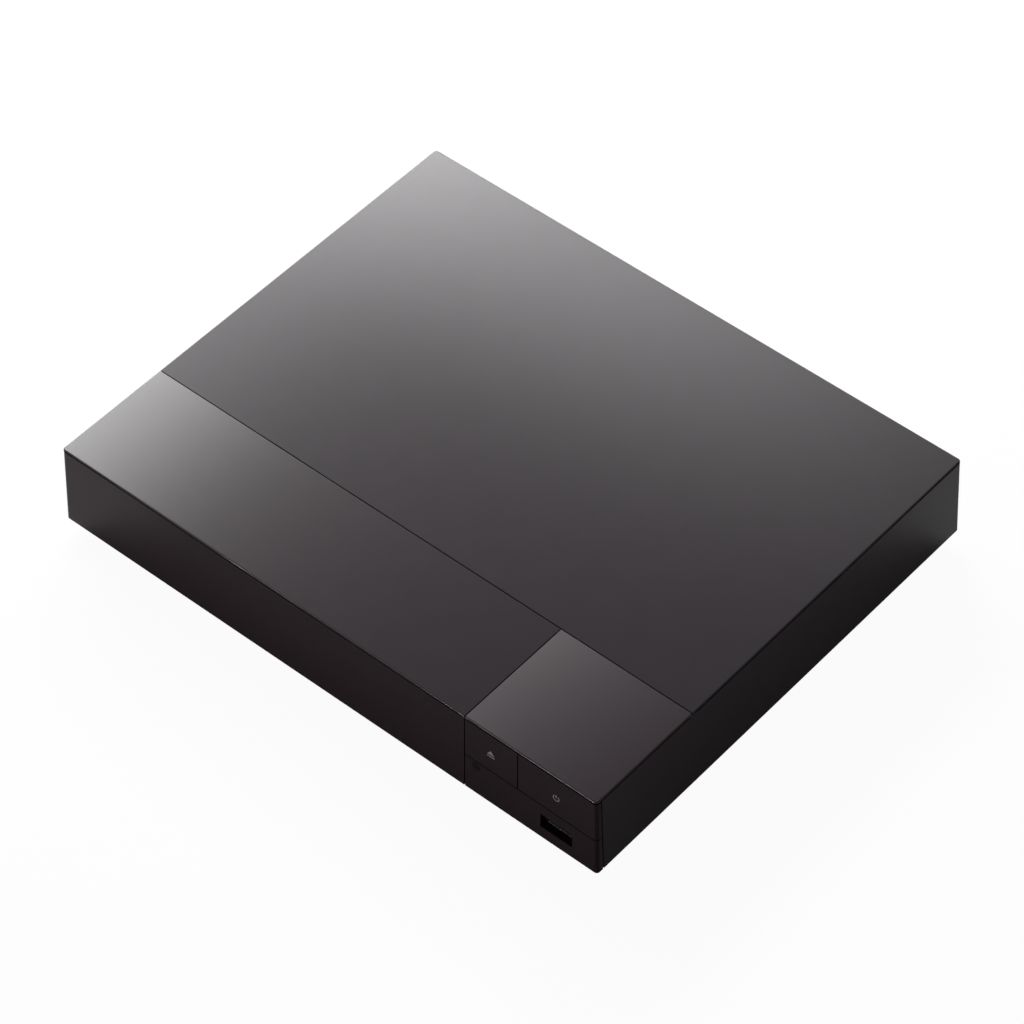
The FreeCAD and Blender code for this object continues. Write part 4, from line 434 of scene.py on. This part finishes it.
def cable_film(name, colour, line, axis, pitch=1.0, share=0.45):
    """A thin film with its conductors showing as lines."""
    made = Material(name, colour, 0.35)
    made.mix(made.lines(axis, pitch, share), line).rough(0.002, 0.3, 0.42)
    return made.grain(0.0006, 0.000004).done()


def turntable_finish(inner=10.8, outer=14.6):
    """Black plastic with a ring of softer rubber where the disc lies."""
    centre = middle("turntable")
    flat = (1, 1, 0)
    made = Material("turntable_black", (0.016, 0.016, 0.017), 0.4)
    ring = made.sum("SUBTRACT", made.within_radius(centre, outer, flat),
                    made.within_radius(centre, inner, flat))
    made.mix(ring, (0.045, 0.045, 0.048))
    made.tree.links.new(made.spread(ring, 0.4, 0.8, 0.0, 1.0), made.shader.inputs["Roughness"])
    return made.grain(0.0003, 0.00001).done()


def tongue_box(node, inset, below, above):
    """The box of a socket's tongue, whose height is measured from the socket's middle."""
    low, high = corners(node)
    level = middle(node)[2]
    side, front, rear = inset
    return ((low[0] + side, low[1] + front, level - below), (high[0] - side, high[1] - rear, level + above))


def boxes_of_tongues():
    """The tongues of the front and the rear socket."""
    return (tongue_box("usb_socket", USB_TONGUE_INSET, 0.0, USB_TONGUE_TALL),
            tongue_box("hdmi_socket", HDMI_TONGUE_INSET, HDMI_TONGUE_HALF, HDMI_TONGUE_HALF))


PANEL_FACE = corners("rear_panel")[1][1]

MATERIALS = {
    "case_black": skin("case_black", (0.020, 0.0135, 0.0175), 0.42, 0.12),
    "panel_satin": skin("panel_satin", (0.037, 0.031, 0.0355), 0.2, 0.18),
    "strip_satin": skin("strip_satin", (0.026, 0.019, 0.0235), 0.168, 0.60),
    "block_gloss": skin("block_gloss", (0.0155, 0.0052, 0.0115), 0.285, 0.50, crown=1.8),
    "front_gloss": skin("front_gloss", (0.0100, 0.0034, 0.0060), 0.2, 0.085),
    "window_dark": skin("window_dark", (0.0035, 0.0015, 0.0022), 0.16, 0.05),
    "inner_black": moulded("inner_black", (0.010, 0.010, 0.011), 0.5, specular=0.2),
    "chassis_steel": zinc_sheet(),
    "screw_steel": metal("screw_steel", (0.52, 0.52, 0.53), 0.28, stretch=(1.0, 1.0, 1.0)),
    "rubber_black": moulded("rubber_black", (0.015, 0.015, 0.015), 0.85, specular=0.2, depth=0.00001),
    "loader_plastic": moulded("loader_plastic", (0.022, 0.022, 0.024), 0.5, depth=0.00001),
    "tray_plastic": moulded("tray_plastic", (0.013, 0.013, 0.014), 0.42, specular=0.3, depth=0.00001),
    "clamp_steel": metal("clamp_steel", (0.6, 0.6, 0.61), 0.3),
    "clamper_white": moulded("clamper_white", (0.72, 0.71, 0.67), 0.4, tone=-0.05),
    "gear_white": moulded("gear_white", (0.76, 0.75, 0.69), 0.36, tone=-0.06, depth=0.000003),
    "magnet_grey": moulded("magnet_grey", (0.05, 0.05, 0.052), 0.6, tone=0.3, depth=0.00001),
    "motor_steel": metal("motor_steel", (0.60, 0.60, 0.60), 0.3, stretch=(12.0, 12.0, 1.0)),
    "rod_steel": metal("rod_steel", (0.75, 0.75, 0.76), 0.12, stretch=(1.0, 1.0, 14.0), tone=-0.05),
    "sled_metal": metal("sled_metal", (0.46, 0.46, 0.47), 0.5, stretch=(1.0, 1.0, 1.0), depth=0.00001),
    "holder_black": moulded("holder_black", (0.018, 0.018, 0.019), 0.45),
    "belt_rubber": moulded("belt_rubber", (0.012, 0.012, 0.012), 0.75, specular=0.2, depth=0.00001),
    "board_green": circuit_board(),
    "chip_black": moulded("chip_black", (0.014, 0.014, 0.015), 0.5, grain=0.0001, depth=0.000004),
    "heatsink_alu": metal("heatsink_alu", (0.66, 0.66, 0.67), 0.34, stretch=(12.0, 1.0, 12.0)),
    "capacitor_case": can_sleeve(),
    "socket_metal": shell_and_tongue("socket_metal", boxes_of_tongues()),
    "socket_black": socket_plastic(),
    "jack_orange": jack_finish(),
    "flex_cable": cable_film("flex_cable", (0.74, 0.73, 0.69), (0.42, 0.43, 0.45), 0),
    "lens_glass": moulded("lens_glass", (0.03, 0.05, 0.16), 0.04, specular=0.9, depth=0.0000002,
                          Coat_Weight=1.0, Coat_Roughness=0.02),
}
FILM_TONES = ((0.30, 0.12, 0.035), (0.48, 0.24, 0.09))
FILM_ALONG = cable_film("film_along", *FILM_TONES, 0)
FILM_ACROSS = cable_film("film_across", *FILM_TONES, 1)
OWN_FINISH = {
    "pickup_flex": FILM_ACROSS,
    "turntable": turntable_finish(),
}
GOLD = metal("contact_gold", (0.85, 0.62, 0.24), 0.22)
TIN = metal("solder_tin", (0.66, 0.66, 0.67), 0.3)
# Painted shade: a dead black finish that reflects nothing, for the bands that stand in for the shadow under
# the top plates' edges.
SHADOW_BLACK = moulded("shadow_line_black", (0.002, 0.002, 0.002), 0.9, specular=0.0)
PRINT = moulded("mark_print", (0.175, 0.16, 0.167), 0.5, specular=0.2, depth=0.000002)
TAN = moulded("ceramic_tan", (0.36, 0.24, 0.13), 0.5)
LAMP_GREEN = moulded("lamp_green", (0.10, 0.42, 0.10), 0.2, specular=0.5)
LAMP_AMBER = moulded("lamp_amber", (0.62, 0.34, 0.05), 0.2, specular=0.5)


def dress_nodes():
    """Gives each CAD part the finish of its own material slot."""
    for part in frame["record"]["subparts"]:
        finish = OWN_FINISH.get(part["node"], MATERIALS[part["material_slot"]])
        for place in NODES[part["node"]].material_slots:
            place.material = finish


def rounded_outline(low, high, radius, steps=6):
    """The outline of a rounded rectangle, from the lower left corner round."""
    points = []
    for x, y, first in ((high[0] - radius, low[1] + radius, -90), (high[0] - radius, high[1] - radius, 0),
                        (low[0] + radius, high[1] - radius, 90), (low[0] + radius, low[1] + radius, 180)):
        for i in range(steps + 1):
            angle = math.radians(first + 90 * i / steps)
            points.append((x + radius * math.cos(angle), y + radius * math.sin(angle)))
    return points


def plate_shadow_lines(proud=0.02, tall=0.4, radius=1.2):
    """Painted shadow: a black band round each top plate and in the seams between them, standing in for the
    shade in the gap under the plates' edges.
    """
    shadow_bands = Shape()
    for name in ("top_panel", "front_top_strip", "corner_block_plate"):
        low, high = corners(name)
        outline = rounded_outline([c - proud for c in low], [c + proud for c in high], radius + proud)
        shadow_bands.prism((0, 0, low[2]), (1, 0, 0), (0, 1, 0), outline, (0.0, tall))
    shadow_bands.piece("plate_shadow_lines", "root", SHADOW_BLACK, "inner_black")


def front_face():
    """A point of the leaning front face above the middle, and the direction up along it."""
    foot = corners("tray_door")[0]
    head = corners("front_top_strip")[0]
    up = Vector((0, head[1] - foot[1], head[2] - foot[2])).normalized()
    return Vector((0, foot[1], foot[2])) + up * MARK_HEIGHT, up


def eject_mark(start, across, up, depth):
    """A triangle over a bar."""
    half = MARK_WIDTH / 2
    foot, top = EJECT_BAR
    origin = start + Vector((middle("eject_button")[0], 0, 0))
    mark = Shape()
    mark.prism(origin, across, up, [(-half, EJECT_FOOT), (half, EJECT_FOOT), (0, half * EJECT_PEAK)], depth)
    mark.prism(origin, across, up, [(-half, foot), (half, foot), (half, top), (-half, top)], depth)
    mark.piece("eject_mark", "eject_key", PRINT)


def power_mark(start, across, up, depth, steps=28):
    """An open ring with a stroke in its opening."""
    origin = start + Vector((middle("power_plunger")[0], 0, 0))
    opening = math.radians(POWER_MARK_OPENING)
    sweep = [math.pi / 2 + opening / 2 + (2 * math.pi - opening) * i / steps for i in range(steps + 1)]
    outer = [(POWER_MARK_RADIUS * math.cos(a), POWER_MARK_RADIUS * math.sin(a)) for a in sweep]
    inside = POWER_MARK_RADIUS - MARK_LINE
    inner = [(inside * math.cos(a), inside * math.sin(a)) for a in reversed(sweep)]
    line = MARK_LINE / 2
    foot, top = POWER_STROKE
    mark = Shape()
    mark.prism(origin, across, up, outer + inner, depth)
    mark.prism(origin, across, up, [(-line, foot), (line, foot), (line, top), (-line, top)], depth)
    mark.piece("power_mark", "power_key", PRINT)


def key_marks():
    """The open mark and the power mark, printed on the two keys."""
    start, up = front_face()
    for mark in (eject_mark, power_mark):
        mark(start, (1, 0, 0), up, (-MARK_SINK, MARK_LIFT))


def sensor_lens(radius=1.7, sunk=0.5, proud=0.015, steps=32):
    """The thin lens that closes the hole of the remote sensor, level with the leaning face."""
    start, up = front_face()
    centre = middle("remote_sensor_window")
    rise = up * ((centre[2] - start.z) / up.z)
    turns = [2 * math.pi * i / steps for i in range(steps)]
    round_outline = [(radius * math.cos(a), radius * math.sin(a)) for a in turns]
    lens = Shape()
    lens.prism(start + rise + Vector((centre[0], 0, 0)), (1, 0, 0), up, round_outline, (-sunk, proud))
    lens.piece("sensor_lens", "root", MATERIALS["window_dark"], "window_dark")


def usb_contacts(places=(-3.5, -1.0, 1.0, 3.5), half=0.6, back=1.0, over=0.1, thick=0.12, into=0.05):
    """The contacts under the tongue of the front socket."""
    low, high = boxes_of_tongues()[0]
    x, _, z = middle("usb_socket")
    under = z + over
    contacts = Shape()
    for place in places:
        contacts.block((x + place - half, low[1] + back, under - thick),
                       (x + place + half, high[1], under + into), 0.03)
    contacts.piece("usb_contacts", "root", GOLD, "socket_metal")


def hdmi_contacts(pitch=1.0, half=0.2, lift=0.6, thick=0.08, back=(9.0, 1.6)):
    """The contacts on both sides of the rear socket's tongue."""
    x, _, z = middle("hdmi_socket")
    rear = corners("hdmi_socket")[1][1]
    contacts = Shape()
    for count, side in ((10, 1), (9, -1)):
        face = z + side * lift
        low, high = sorted((face, face + side * thick))
        for i in range(count):
            place = x + (i - (count - 1) / 2) * pitch
            contacts.block((place - half, rear - back[0], low), (place + half, rear - back[1], high))
    contacts.piece("hdmi_contacts", "root", GOLD, "socket_metal")


def lan_contacts(count=8, pitch=1.02, half=0.15, mouth=2.5):
    """The slanted wires in the network socket."""
    x, _, z = middle("lan_socket")
    rear = corners("lan_socket")[1][1]
    wire = [(0.0, -3.9), (0.0, -3.5), (8.5, -0.9), (8.5, -1.3)]
    contacts = Shape()
    for i in range(count):
        place = x + (i - (count - 1) / 2) * pitch
        contacts.prism((place + half, rear - mouth, z), (0, -1, 0), (0, 0, 1), wire, (0.0, 2 * half))
    contacts.piece("lan_contacts", "root", GOLD, "socket_black")


def lan_lamps(aside=5.9, half=1.2, levels=(4.7, 6.1), back=1.0, proud=0.12):
    """The two lamps over the mouth of the network socket."""
    x, _, z = middle("lan_socket")
    rear = corners("lan_socket")[1][1]
    for side, name, finish in ((-1, "lan_lamp_amber", LAMP_AMBER), (1, "lan_lamp_green", LAMP_GREEN)):
        centre = x + side * aside
        lamp = Shape()
        lamp.block((centre - half, rear - back, z + levels[0]),
                   (centre + half, rear + proud, z + levels[1]), 0.1)
        lamp.piece(name, "root", finish)


def small_parts(shape, start, step, count, size, z):
    """A row of small parts on the board."""
    for i in range(count):
        x, y = start[0] + step[0] * i, start[1] + step[1] * i
        half = (size[0] / 2, size[1] / 2)
        shape.block((x - half[0], y - half[1], z), (x + half[0], y + half[1], z + size[2]), 0.05)


def tiny_rows(low, high, chip, ends, tiny=(0.8, 1.6, 0.8), cap=0.4):
    """Rows of tiny parts, whose tinned ends go into a shape of their own, and a few small dark ones."""
    left, front, _ = low
    right, rear, z = high
    caps, dark = Shape(), Shape()
    rows = (((left + 4.5, chip[1] - 12), (0, 2.6), 10), ((left + 7.0, chip[1] - 12), (0, 2.6), 10),
            ((chip[0] - 12, chip[1] + 16.5), (2.4, 0), 11), ((chip[0] - 12, chip[1] - 16.5), (2.4, 0), 11),
            ((left + 6, front + 23), (2.4, 0), 8), ((left + 30, front + 23), (2.4, 0), 8),
            ((left + 4.5, rear - 30), (0, 2.6), 6), ((right - 6, rear - 52), (0, 2.6), 5))
    wide, long, tall = tiny
    for start, step, count in rows:
        small_parts(caps, start, step, count, (wide - 0.02, long * 0.6, tall), z)
        for side in (-0.6, 0.6):
            small_parts(ends, (start[0], start[1] + side), step, count, (wide, cap, tall + 0.02), z)
    small_parts(dark, (left + 22.0, front + 34.0), (5.0, 0), 3, (2.9, 1.6, 1.0), z)
    small_parts(dark, (left + 46.0, rear - 34.0), (0, 4.0), 3, (3.2, 2.5, 1.1), z)
    caps.piece("board_capacitors", "root", TAN, "board_green")
    dark.piece("board_transistors", "root", MATERIALS["chip_black"], "chip_black")


def driver_pins(shape, x, y, z, count=10, pitch=0.75, half=0.16, reach=(3.9, 5.0), tall=0.25):
    """Pins along the four sides of the driver chip."""
    for side in (-1, 1):
        for i in range(count):
            along = (i - (count - 1) / 2) * pitch
            near, far = sorted(x + side * r for r in reach)
            shape.block((near, y + along - half, z), (far, y + along + half, z + tall))
            near, far = sorted(y + side * r for r in reach)
            shape.block((x + along - half, near, z), (x + along + half, far, z + tall))


def chip_dots(places, top):
    """The dot that marks the first pin of each chip."""
    marks = Shape()
    for x, y in places:
        marks.turned((x, y, top - 0.05), ((0.35, 0), (0.35, 0.06), (0.25, 0.07)), steps=16)
    marks.piece("chip_marks", "root", PRINT, "chip_black")


def can_scores(long=1.8, wide=0.12, sunk=0.05, proud=0.04):
    """The cross that is scored in the top of each capacitor."""
    low, high = corners("capacitors")
    pitch = (high[1] - low[1] - 2 * CAN_RADIUS) / (CAN_COUNT - 1)
    scores = Shape()
    for i in range(CAN_COUNT):
        x, y = low[0] + CAN_RADIUS, low[1] + CAN_RADIUS + i * pitch
        for across, along in ((wide, long), (long, wide)):
            scores.block((x - across, y - along, high[2] - sunk), (x + across, y + along, high[2] + proud))
    scores.piece("capacitor_scores", "root", MATERIALS["heatsink_alu"], "capacitor_case")


def board_parts():
    """What stands on the main board besides the CAD parts, and the marks on those."""
    low, high = corners("main_board")
    chip = middle("heatsink")
    line = (low[0] + high[0]) / 2
    z = high[2]
    driver = (line + DRIVER_ASIDE, chip[1] - CHIPS_AWAY)
    ends = Shape()
    tiny_rows(low, high, chip, ends)
    driver_pins(ends, *driver, z)
    ends.piece("board_solder", "root", TIN, "board_green")
    dots = [(driver[0] - DRIVER_DOT[0], driver[1] + DRIVER_DOT[1])]
    for side in (-1, 1):
        dots.append((line + side * MEMORY_ASIDE - MEMORY_DOT[0], chip[1] + CHIPS_AWAY + MEMORY_DOT[1]))
    chip_dots(dots, z + CHIP_TALL)
    can_scores()


def screw_thread(pitch=3.0, depth=0.32, plain=8.0, spare=1.0, groove=0.3, steps=28, rings=12):
    """The lead screw with its real thread: one helical groove between plain ends."""
    low, high = corners("lead_screw")
    x, _, z = middle("lead_screw")
    radius = (high[0] - low[0]) / 2
    count = int((high[1] - low[1] - plain - spare) / pitch * rings)
    thread = Shape()
    mesh = thread.mesh
    circles = []
    levels = [low[1]] + [low[1] + plain + pitch * i / rings for i in range(count + 1)] + [high[1]]
    for level, y in enumerate(levels):
        ends = level < 2 or level > count
        circle = []
        for j in range(steps):
            angle = 2 * math.pi * j / steps
            phase = ((y - low[1]) / pitch - j / steps) % 1.0
            cut = depth * max(0.0, 1.0 - abs(phase - 0.5) / groove)
            reach = radius if ends else radius - cut
            circle.append(mesh.verts.new((x + reach * math.cos(angle), y, z + reach * math.sin(angle))))
        circles.append(circle)
    for near, far in zip(circles, circles[1:]):
        for j in range(steps):
            k = (j + 1) % steps
            mesh.faces.new((near[j], near[k], far[k], far[j]))
    mesh.faces.new(circles[0])
    mesh.faces.new(reversed(circles[-1]))
    made = thread.piece("lead_screw_thread", "screw", MATERIALS["rod_steel"], "rod_steel")
    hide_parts("lead_screw")


def spindle_balls(count=3, ring=6.9, radius=0.62, below=2.0, steps=10):
    """Steel balls that stand out of the hub and hold the disc."""
    x, y, _ = middle("turntable")
    top = corners("turntable")[1][2]
    arc = [math.pi * k / steps for k in range(steps + 1)]
    profile = [(max(0.02, radius * math.sin(a)), -radius * math.cos(a)) for a in arc]
    balls = Shape()
    for i in range(count):
        angle = 2 * math.pi * i / count
        centre = (x + ring * math.cos(angle), y + ring * math.sin(angle), top - below)
        balls.turned(centre, profile, steps=16)
    balls.piece("hub_balls", "spindle", MATERIALS["rod_steel"], "rod_steel")


def pickup_yokes(half=4.5, gap=1.2, thick=1.0, sunk=0.1, tall=1.0):
    """The two yokes beside the lens holder."""
    low, high = corners("lens_holder")
    top = corners("pickup_sled")[1][2]
    x = (low[0] + high[0]) / 2
    yokes = Shape()
    for near, far in ((low[1] - gap - thick, low[1] - gap), (high[1] + gap, high[1] + gap + thick)):
        yokes.block((x - half, near, top - sunk), (x + half, far, top + tall), 0.15)
    yokes.piece("pickup_yokes", "sled", MATERIALS["clamp_steel"], "clamp_steel")


def lens_ring(sunk=0.1):
    """The ring that carries the lens, with both rims rounded off."""
    x, y, _ = middle("objective_lens")
    foot = corners("lens_holder")[1][2] - sunk
    profile = ((3.4, 0), (3.4, 0.3), (3.25, 0.42), (2.9, 0.42), (2.75, 0.3), (2.75, 0))
    ring = Shape()
    ring.turned((x, y, foot), profile)
    ring.piece("lens_ring", "lens", MATERIALS["holder_black"], "holder_black")


def ribbon(path, thick):
    """The outline of a ribbon that follows a path of (u, v) points."""
    left, right = [], []
    for i, point in enumerate(path):
        along = (Vector(path[min(i + 1, len(path) - 1)]) - Vector(path[max(i - 1, 0)])).normalized()
        aside = Vector((-along.y, along.x)) * thick / 2
        left.append(Vector(point) + aside)
        right.append(Vector(point) - aside)
    return left + right[::-1]


def bend(centre, radius, first, last, steps=6):
    turns = [math.radians(first + (last - first) * i / steps) for i in range(steps + 1)]
    return [(centre[0] + radius * math.cos(a), centre[1] + radius * math.sin(a)) for a in turns]


def cable_run(near, far, half, level, thick, span):
    """What lies along the pan, under the sled's way."""
    run = Shape()
    outline = ribbon([(near, level), (far - half, level), (far, level)], thick)
    run.prism((0, 0, 0), (0, 1, 0), (0, 0, 1), outline, span)
    run.piece("pickup_cable_run", "root", FILM_ALONG, "flex_cable")


def cable_fold(start, end, level, entry, thick, span, before=3.75, curve=1.0, into=0.3):
    """What folds over to the board, rises beside it and enters its holder."""
    upright = end - before
    path = [(start, level)] + bend((upright - curve, level + curve), curve, -90, 0)
    path += bend((upright + curve, entry - curve), curve, 180, 90) + [(end + into, entry)]
    fold = Shape()
    fold.prism((0, 0, 0), (1, 0, 0), (0, 0, 1), ribbon(path, thick), span)
    made = fold.piece("pickup_cable_fold", "root", FILM_ACROSS, "flex_cable")
    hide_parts("pickup_flex")


def cable_holder(high, plug, rim=0.4, cover=0.8, tall=0.9, deep=1.8, side=0.3):
    """The board's socket for the cable, with a clamping bar over its mouth."""
    mouth, foot = high[0] - plug[0], high[2] - plug[2]
    holder = Shape()
    holder.block((mouth + rim, high[1] - plug[1], foot), (high[0], high[1], high[2] - cover), 0.1)
    holder.block((mouth, high[1] - plug[1] + side, high[2] - tall),
                 (mouth + deep, high[1] - side, high[2]), 0.1)
    holder.piece("pickup_cable_holder", "root", MATERIALS["inner_black"], "inner_black")


def cable_end(start, top, level, thick, span, curve=1.6, foot=4.0):
    """What hangs from the sled."""
    y = start + thick / 2
    path = [(y, top), (y, level + curve)]
    path += bend((y + curve, level + curve), curve, 180, 270)[1:] + [(start + foot, level)]
    end = Shape()
    end.prism((0, 0, 0), (0, 1, 0), (0, 0, 1), ribbon(path, thick), span)
    made = end.piece("pickup_cable_end", "sled", FILM_ALONG, "flex_cable")
    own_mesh(made)


def pickup_cable(thick=0.3, width=12.0, plug=(6.0, 8.0, 2.4)):
    """The pickup's flat cable, whose hanging end moves with the sled over the part that lies still."""
    low, high = corners("pickup_flex")
    under = corners("pickup_sled")[0][2]
    half = width / 2
    near, far = low[1], high[1] - (plug[1] - half) / 2
    folded = low[2] + thick * 1.5
    span = (low[0], low[0] + width)
    cable_run(near, far, half, low[2] + thick / 2, thick, span)
    cable_fold(low[0], high[0] - plug[0], folded, high[2] - thick * 1.5, thick, (-far, half - far))
    cable_holder(high, plug)
    cable_end(near, under, folded + thick * 1.2, thick, span)


def door_ribs(depth=0.45, width=0.8, pitch=14.0, side=5.0, rim=3.0, sunk=0.3):
    """Ribs on the back of the door, which show when the tray is open."""
    low, high = corners("tray_door")
    back = high[1]
    first = low[0] + side
    count = int((high[0] - low[0] - 8) / pitch)
    last = first + count * pitch + width
    ribs = Shape()
    for i in range(count + 1):
        x = first + i * pitch
        ribs.block((x, back - sunk, low[2] + rim), (x + width, back + depth, high[2] - rim), 0.1)
    for z in (low[2] + rim, high[2] - rim - width):
        ribs.block((first, back - sunk, z), (last, back + depth, z + width), 0.1)
    ribs.piece("door_ribs", "tray", MATERIALS["inner_black"], "front_gloss")


def camera():
    data = bpy.data.cameras.new("camera")
    data.sensor_width = SENSOR
    data.lens = FOCAL_PIXELS / FRAME_PIXELS * SENSOR
    data.clip_start = 0.05
    data.clip_end = 50.0
    made = bpy.data.objects.new("camera", data)
    columns = (Vector(CAMERA_RIGHT), -Vector(CAMERA_DOWN), -Vector(CAMERA_AHEAD))
    turn = Matrix(columns).transposed().to_4x4()
    made.matrix_world = Matrix.Translation(CAMERA_PLACE) @ turn
    bpy.context.scene.collection.objects.link(made)
    bpy.context.scene.camera = made


def rectangle_lamp(name, place, size, watts):
    data = bpy.data.lights.new(name, "AREA")
    data.shape = "RECTANGLE"
    data.size, data.size_y = size
    data.energy = watts
    made = bpy.data.objects.new(name, data)
    made.location = place
    bpy.context.scene.collection.objects.link(made)
    return made


def fade_out(lamp, share):
    """Lets a lamp fade smoothly to nothing over the outer share of each half side."""
    lamp.data.use_nodes = True
    tree = lamp.data.node_tree
    across = tree.nodes.new("ShaderNodeSeparateXYZ")
    tree.links.new(tree.nodes.new("ShaderNodeNewGeometry").outputs["Parametric"], across.inputs[0])
    faded = []
    for axis in (0, 1):
        away = tree.nodes.new("ShaderNodeMath")
        away.operation = "SUBTRACT"
        away.inputs[1].default_value = 0.5
        tree.links.new(across.outputs[axis], away.inputs[0])
        size = tree.nodes.new("ShaderNodeMath")
        size.operation = "ABSOLUTE"
        tree.links.new(away.outputs[0], size.inputs[0])
        ramp = tree.nodes.new("ShaderNodeMapRange")
        ramp.interpolation_type = "SMOOTHSTEP"
        ramp.inputs["From Min"].default_value = 0.5
        ramp.inputs["From Max"].default_value = 0.5 * (1.0 - share)
        tree.links.new(size.outputs[0], ramp.inputs["Value"])
        faded.append(ramp.outputs["Result"])
    both = tree.nodes.new("ShaderNodeMath")
    both.operation = "MULTIPLY"
    tree.links.new(faded[0], both.inputs[0])
    tree.links.new(faded[1], both.inputs[1])
    tree.links.new(both.outputs[0], tree.nodes["Emission"].inputs["Strength"])


def lamps():
    for name, (place, size, watts, share) in TOP_BOXES.items():
        fade_out(rectangle_lamp(name, place, size, watts), share)
    place, size, watts = EDGE_FILL
    fill = rectangle_lamp("edge_fill", place, size, watts)
    fill.rotation_mode = "QUATERNION"
    fill.rotation_quaternion = (Vector(AIM) - Vector(place)).to_track_quat("-Z", "Y")


def surround():
    """A weak even light from all round, white where the camera sees it."""
    world = bpy.data.worlds.new("surround")
    bpy.context.scene.world = world
    world.use_nodes = True
    tree = world.node_tree
    back = tree.nodes["Background"]
    back.inputs["Color"].default_value = (1.0, 1.0, 1.0, 1.0)
    seen = tree.nodes.new("ShaderNodeMapRange")
    seen.inputs["To Min"].default_value = SURROUND
    seen.inputs["To Max"].default_value = 1.0
    tree.links.new(tree.nodes.new("ShaderNodeLightPath").outputs["Is Camera Ray"], seen.inputs["Value"])
    tree.links.new(seen.outputs["Result"], back.inputs["Strength"])


def floor_glow(tree):
    """How much of the floor shines: most to the eye and through glass, less in reflections."""
    path = tree.nodes.new("ShaderNodeLightPath").outputs
    total = None
    for ray, share in (("Is Camera Ray", FLOOR_GLOW), ("Is Transmission Ray", FLOOR_GLOW),
                       ("Is Glossy Ray", GLOSSY_GLOW)):
        part = tree.nodes.new("ShaderNodeMath")
        part.operation = "MULTIPLY"
        part.inputs[1].default_value = share
        tree.links.new(path[ray], part.inputs[0])
        if total is None:
            total = part.outputs[0]
            continue
        most = tree.nodes.new("ShaderNodeMath")
        most.operation = "MAXIMUM"
        tree.links.new(total, most.inputs[0])
        tree.links.new(part.outputs[0], most.inputs[1])
        total = most.outputs[0]
    return total


def floor():
    """A pale floor that is open from below, so that the underside can be looked at."""
    bpy.ops.mesh.primitive_plane_add(size=FLOOR_SIZE, location=(0, 0, -FLOOR_DROP))
    ground = bpy.context.object
    ground.name = "floor"
    data = bpy.data.materials.new("floor")
    data.use_nodes = True
    tree = data.node_tree
    tree.nodes.clear()
    pale = tree.nodes.new("ShaderNodeBsdfDiffuse")
    pale.inputs["Color"].default_value = (FLOOR_COLOUR, FLOOR_COLOUR, FLOOR_COLOUR, 1.0)
    white = tree.nodes.new("ShaderNodeEmission")
    blend = tree.nodes.new("ShaderNodeMixShader")
    clear = tree.nodes.new("ShaderNodeBsdfTransparent")
    facing = tree.nodes.new("ShaderNodeMixShader")
    out = tree.nodes.new("ShaderNodeOutputMaterial")
    tree.links.new(floor_glow(tree), blend.inputs[0])
    tree.links.new(pale.outputs[0], blend.inputs[1])
    tree.links.new(white.outputs[0], blend.inputs[2])
    tree.links.new(tree.nodes.new("ShaderNodeNewGeometry").outputs["Backfacing"], facing.inputs[0])
    tree.links.new(blend.outputs[0], facing.inputs[1])
    tree.links.new(clear.outputs[0], facing.inputs[2])
    tree.links.new(facing.outputs[0], out.inputs["Surface"])
    ground.data.materials.append(data)


dress_nodes()
# Painted shadow lines round the top plates.
plate_shadow_lines()
key_marks()
sensor_lens()
usb_contacts()
hdmi_contacts()
lan_contacts()
lan_lamps()
board_parts()
screw_thread()
spindle_balls()
pickup_yokes()
lens_ring()
pickup_cable()
door_ribs()
camera()
floor()
surround()
lamps()
bpy.context.scene.view_settings.view_transform = "Standard"
